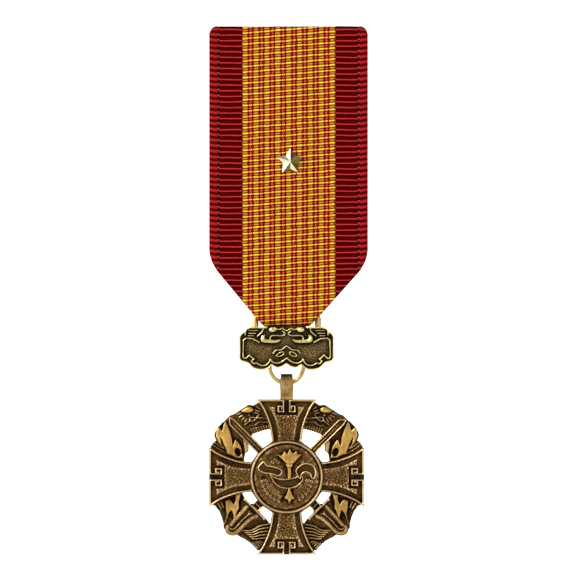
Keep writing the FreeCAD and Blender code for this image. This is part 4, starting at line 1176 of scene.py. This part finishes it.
def make_rim():
    """A half-round moulding about the disc, on a thin flange: a profile turned about the medal's axis."""
    inner, outer = DISC_RADIUS, (RIM_HIGH[0] - RIM_LOW[0]) / 2
    middle = (inner + outer) / 2
    half = (outer - inner) / 2
    low, high = -RIM_HIGH[1], -RIM_LOW[1]
    flange_width = 0.12
    flange_height = 0.02
    crown = [math.pi * k / 12 for k in range(13)]
    # The profile's points are (radius, forward), and wear has a value for each.
    profile = [(outer + flange_width, low), (outer + flange_width, low + flange_height)]
    profile += [(middle + half * math.cos(t), high - half + half * math.sin(t)) for t in crown]
    profile += [(inner, low)]
    wear = [0.1, 0.15] + [0.35 + 0.45 * math.sin(t) for t in crown] + [0.1]

    count = 160
    size = len(profile)
    verts = []
    faces = []
    for i in range(count):
        angle = TURN * i / count
        for radius, forward in profile:
            verts.append((MEDAL[0] + radius * math.cos(angle), -forward, MEDAL[2] + radius * math.sin(angle)))
        here, there = i * size, (i + 1) % count * size
        for j in range(size):
            k = (j + 1) % size
            faces.append((here + j, here + k, there + k, there + j))
    attributes = {"wear": np.tile(wear, count), "polish": np.zeros(size * count)}
    piece = new_piece("disc_rim_ring", verts, faces, BRONZE, attributes)
    finish_piece(piece, "pendant", "light_bronze", "disc_rim")


# ---- CAD nodes that stay ----


def dress(node, material):
    piece = frame["nodes"][node]
    piece.data.materials.clear()
    piece.data.materials.append(material)


for material, nodes in (
    (NICKEL, ("brooch_plate", "hinge_bracket", "hinge_rivet", "pin_stem", "catch_housing", "catch_lock")),
    (STAR_GOLD, ("star_device", "star_prongs")),
    (PALE_WIRE, ("ring_lug", "split_ring")),
    (BAIL_BRONZE, ("bail",)),
    (RIVET_BRONZE, ("core_rivet",)),
    (THREAD, ("ribbon_stitches",)),
):
    for node in nodes:
        dress(node, material)

make_loop()
make_ribbon()
make_ribbon_tucks()
make_suspension_plate()
make_wreath()
make_sword("sword_relief_left", "sword_left", -45, 1)
make_sword("sword_relief_right", "sword_right", 45, -1)
make_cross()
make_disc()
make_rim()


# ---- stage, in metres ----


def make_stage():
    """A pale sweep: a floor under the medal that curves up into a wall behind it.

    From a little behind the medal on, it glows with light of its own: a painted glow, which no lamp behind it
    gives.
    """
    g = Graph("pale_paper")
    paper = g.mix(g.noise(0.02, 2.0), (0.88, 0.88, 0.88), (0.92, 0.92, 0.92))
    # Painted glow: the paper emits light where its glow attribute is set.
    g.finish(Base_Color=paper, Roughness=0.9, Specular_IOR_Level=0.1, Emission_Color=(1.0, 1.0, 1.0, 1.0),
             Emission_Strength=g.times(g.attribute("glow"), 0.9))
    floor_z = CAD_BOX[0][2] - 0.01
    floor_front = -1.6
    wall_y = 1.3
    wall_top = 1.6
    bend = 0.4
    half_width = 1.8
    glow_from = 0.06
    glow_blend = 0.1
    section = [(floor_front, floor_z), (glow_from, floor_z), (glow_from + glow_blend, floor_z)]
    for k in range(13):
        angle = math.pi / 2 * k / 12
        section.append((wall_y - bend + bend * math.sin(angle), floor_z + bend - bend * math.cos(angle)))
    section.append((wall_y, wall_top))
    verts = []
    for y, z in section:
        verts += [(-half_width, y, z), (half_width, y, z)]
    faces = [(2 * i, 2 * i + 1, 2 * i + 3, 2 * i + 2) for i in range(len(section) - 1)]
    mesh = bpy.data.meshes.new("sweep")
    mesh.from_pydata(verts, [], faces)
    mesh.polygons.foreach_set("use_smooth", np.ones(len(mesh.polygons), bool))
    glow = mesh.attributes.new("glow", "FLOAT", "POINT")
    glow.data.foreach_set("value", [float(smooth((y - glow_from) / glow_blend)) for _, y, _ in verts])
    mesh.materials.append(g.material)
    sweep = bpy.data.objects.new("sweep", mesh)
    bpy.context.scene.collection.objects.link(sweep)


def add_light(name, place, width, height, energy):
    """A soft light that faces the medal's middle."""
    target = Vector((0.0, 0.0, -0.025))
    data = bpy.data.lights.new(name, "AREA")
    data.shape = "RECTANGLE"
    data.size = width
    data.size_y = height
    data.energy = energy
    light = bpy.data.objects.new(name, data)
    light.location = place
    light.rotation_euler = (target - Vector(place)).to_track_quat("-Z", "Y").to_euler()
    bpy.context.scene.collection.objects.link(light)


def make_camera():
    """Straight in front, and so far off that the view hardly narrows with depth."""
    middle = (-0.000055, RIBBON_FRONT * MM, -0.02477)
    view_width = 0.06336
    distance = 0.9
    data = bpy.data.cameras.new("camera")
    data.sensor_width = 36.0
    data.lens = data.sensor_width * distance / view_width
    data.clip_start = 0.01
    data.clip_end = 20.0
    camera = bpy.data.objects.new("camera", data)
    camera.location = (middle[0], middle[1] - distance, middle[2])
    camera.rotation_euler = (math.pi / 2, 0.0, 0.0)
    bpy.context.scene.collection.objects.link(camera)
    bpy.context.scene.camera = camera


def make_world():
    world = bpy.data.worlds.new("studio")
    bpy.context.scene.world = world
    world.use_nodes = True
    background = world.node_tree.nodes["Background"]
    background.inputs["Color"].default_value = (1.0, 1.0, 1.0, 1.0)
    background.inputs["Strength"].default_value = 0.36


make_stage()
make_world()
make_camera()
add_light("key", (-0.35, -0.45, 0.35), 0.25, 0.25, 3.1)
add_light("side", (-0.55, -0.2, 0.05), 0.3, 0.5, 1.8)
add_light("fill", (0.45, -0.5, 0.05), 0.3, 0.5, 0.8)
bpy.context.scene.view_settings.view_transform = "Standard"
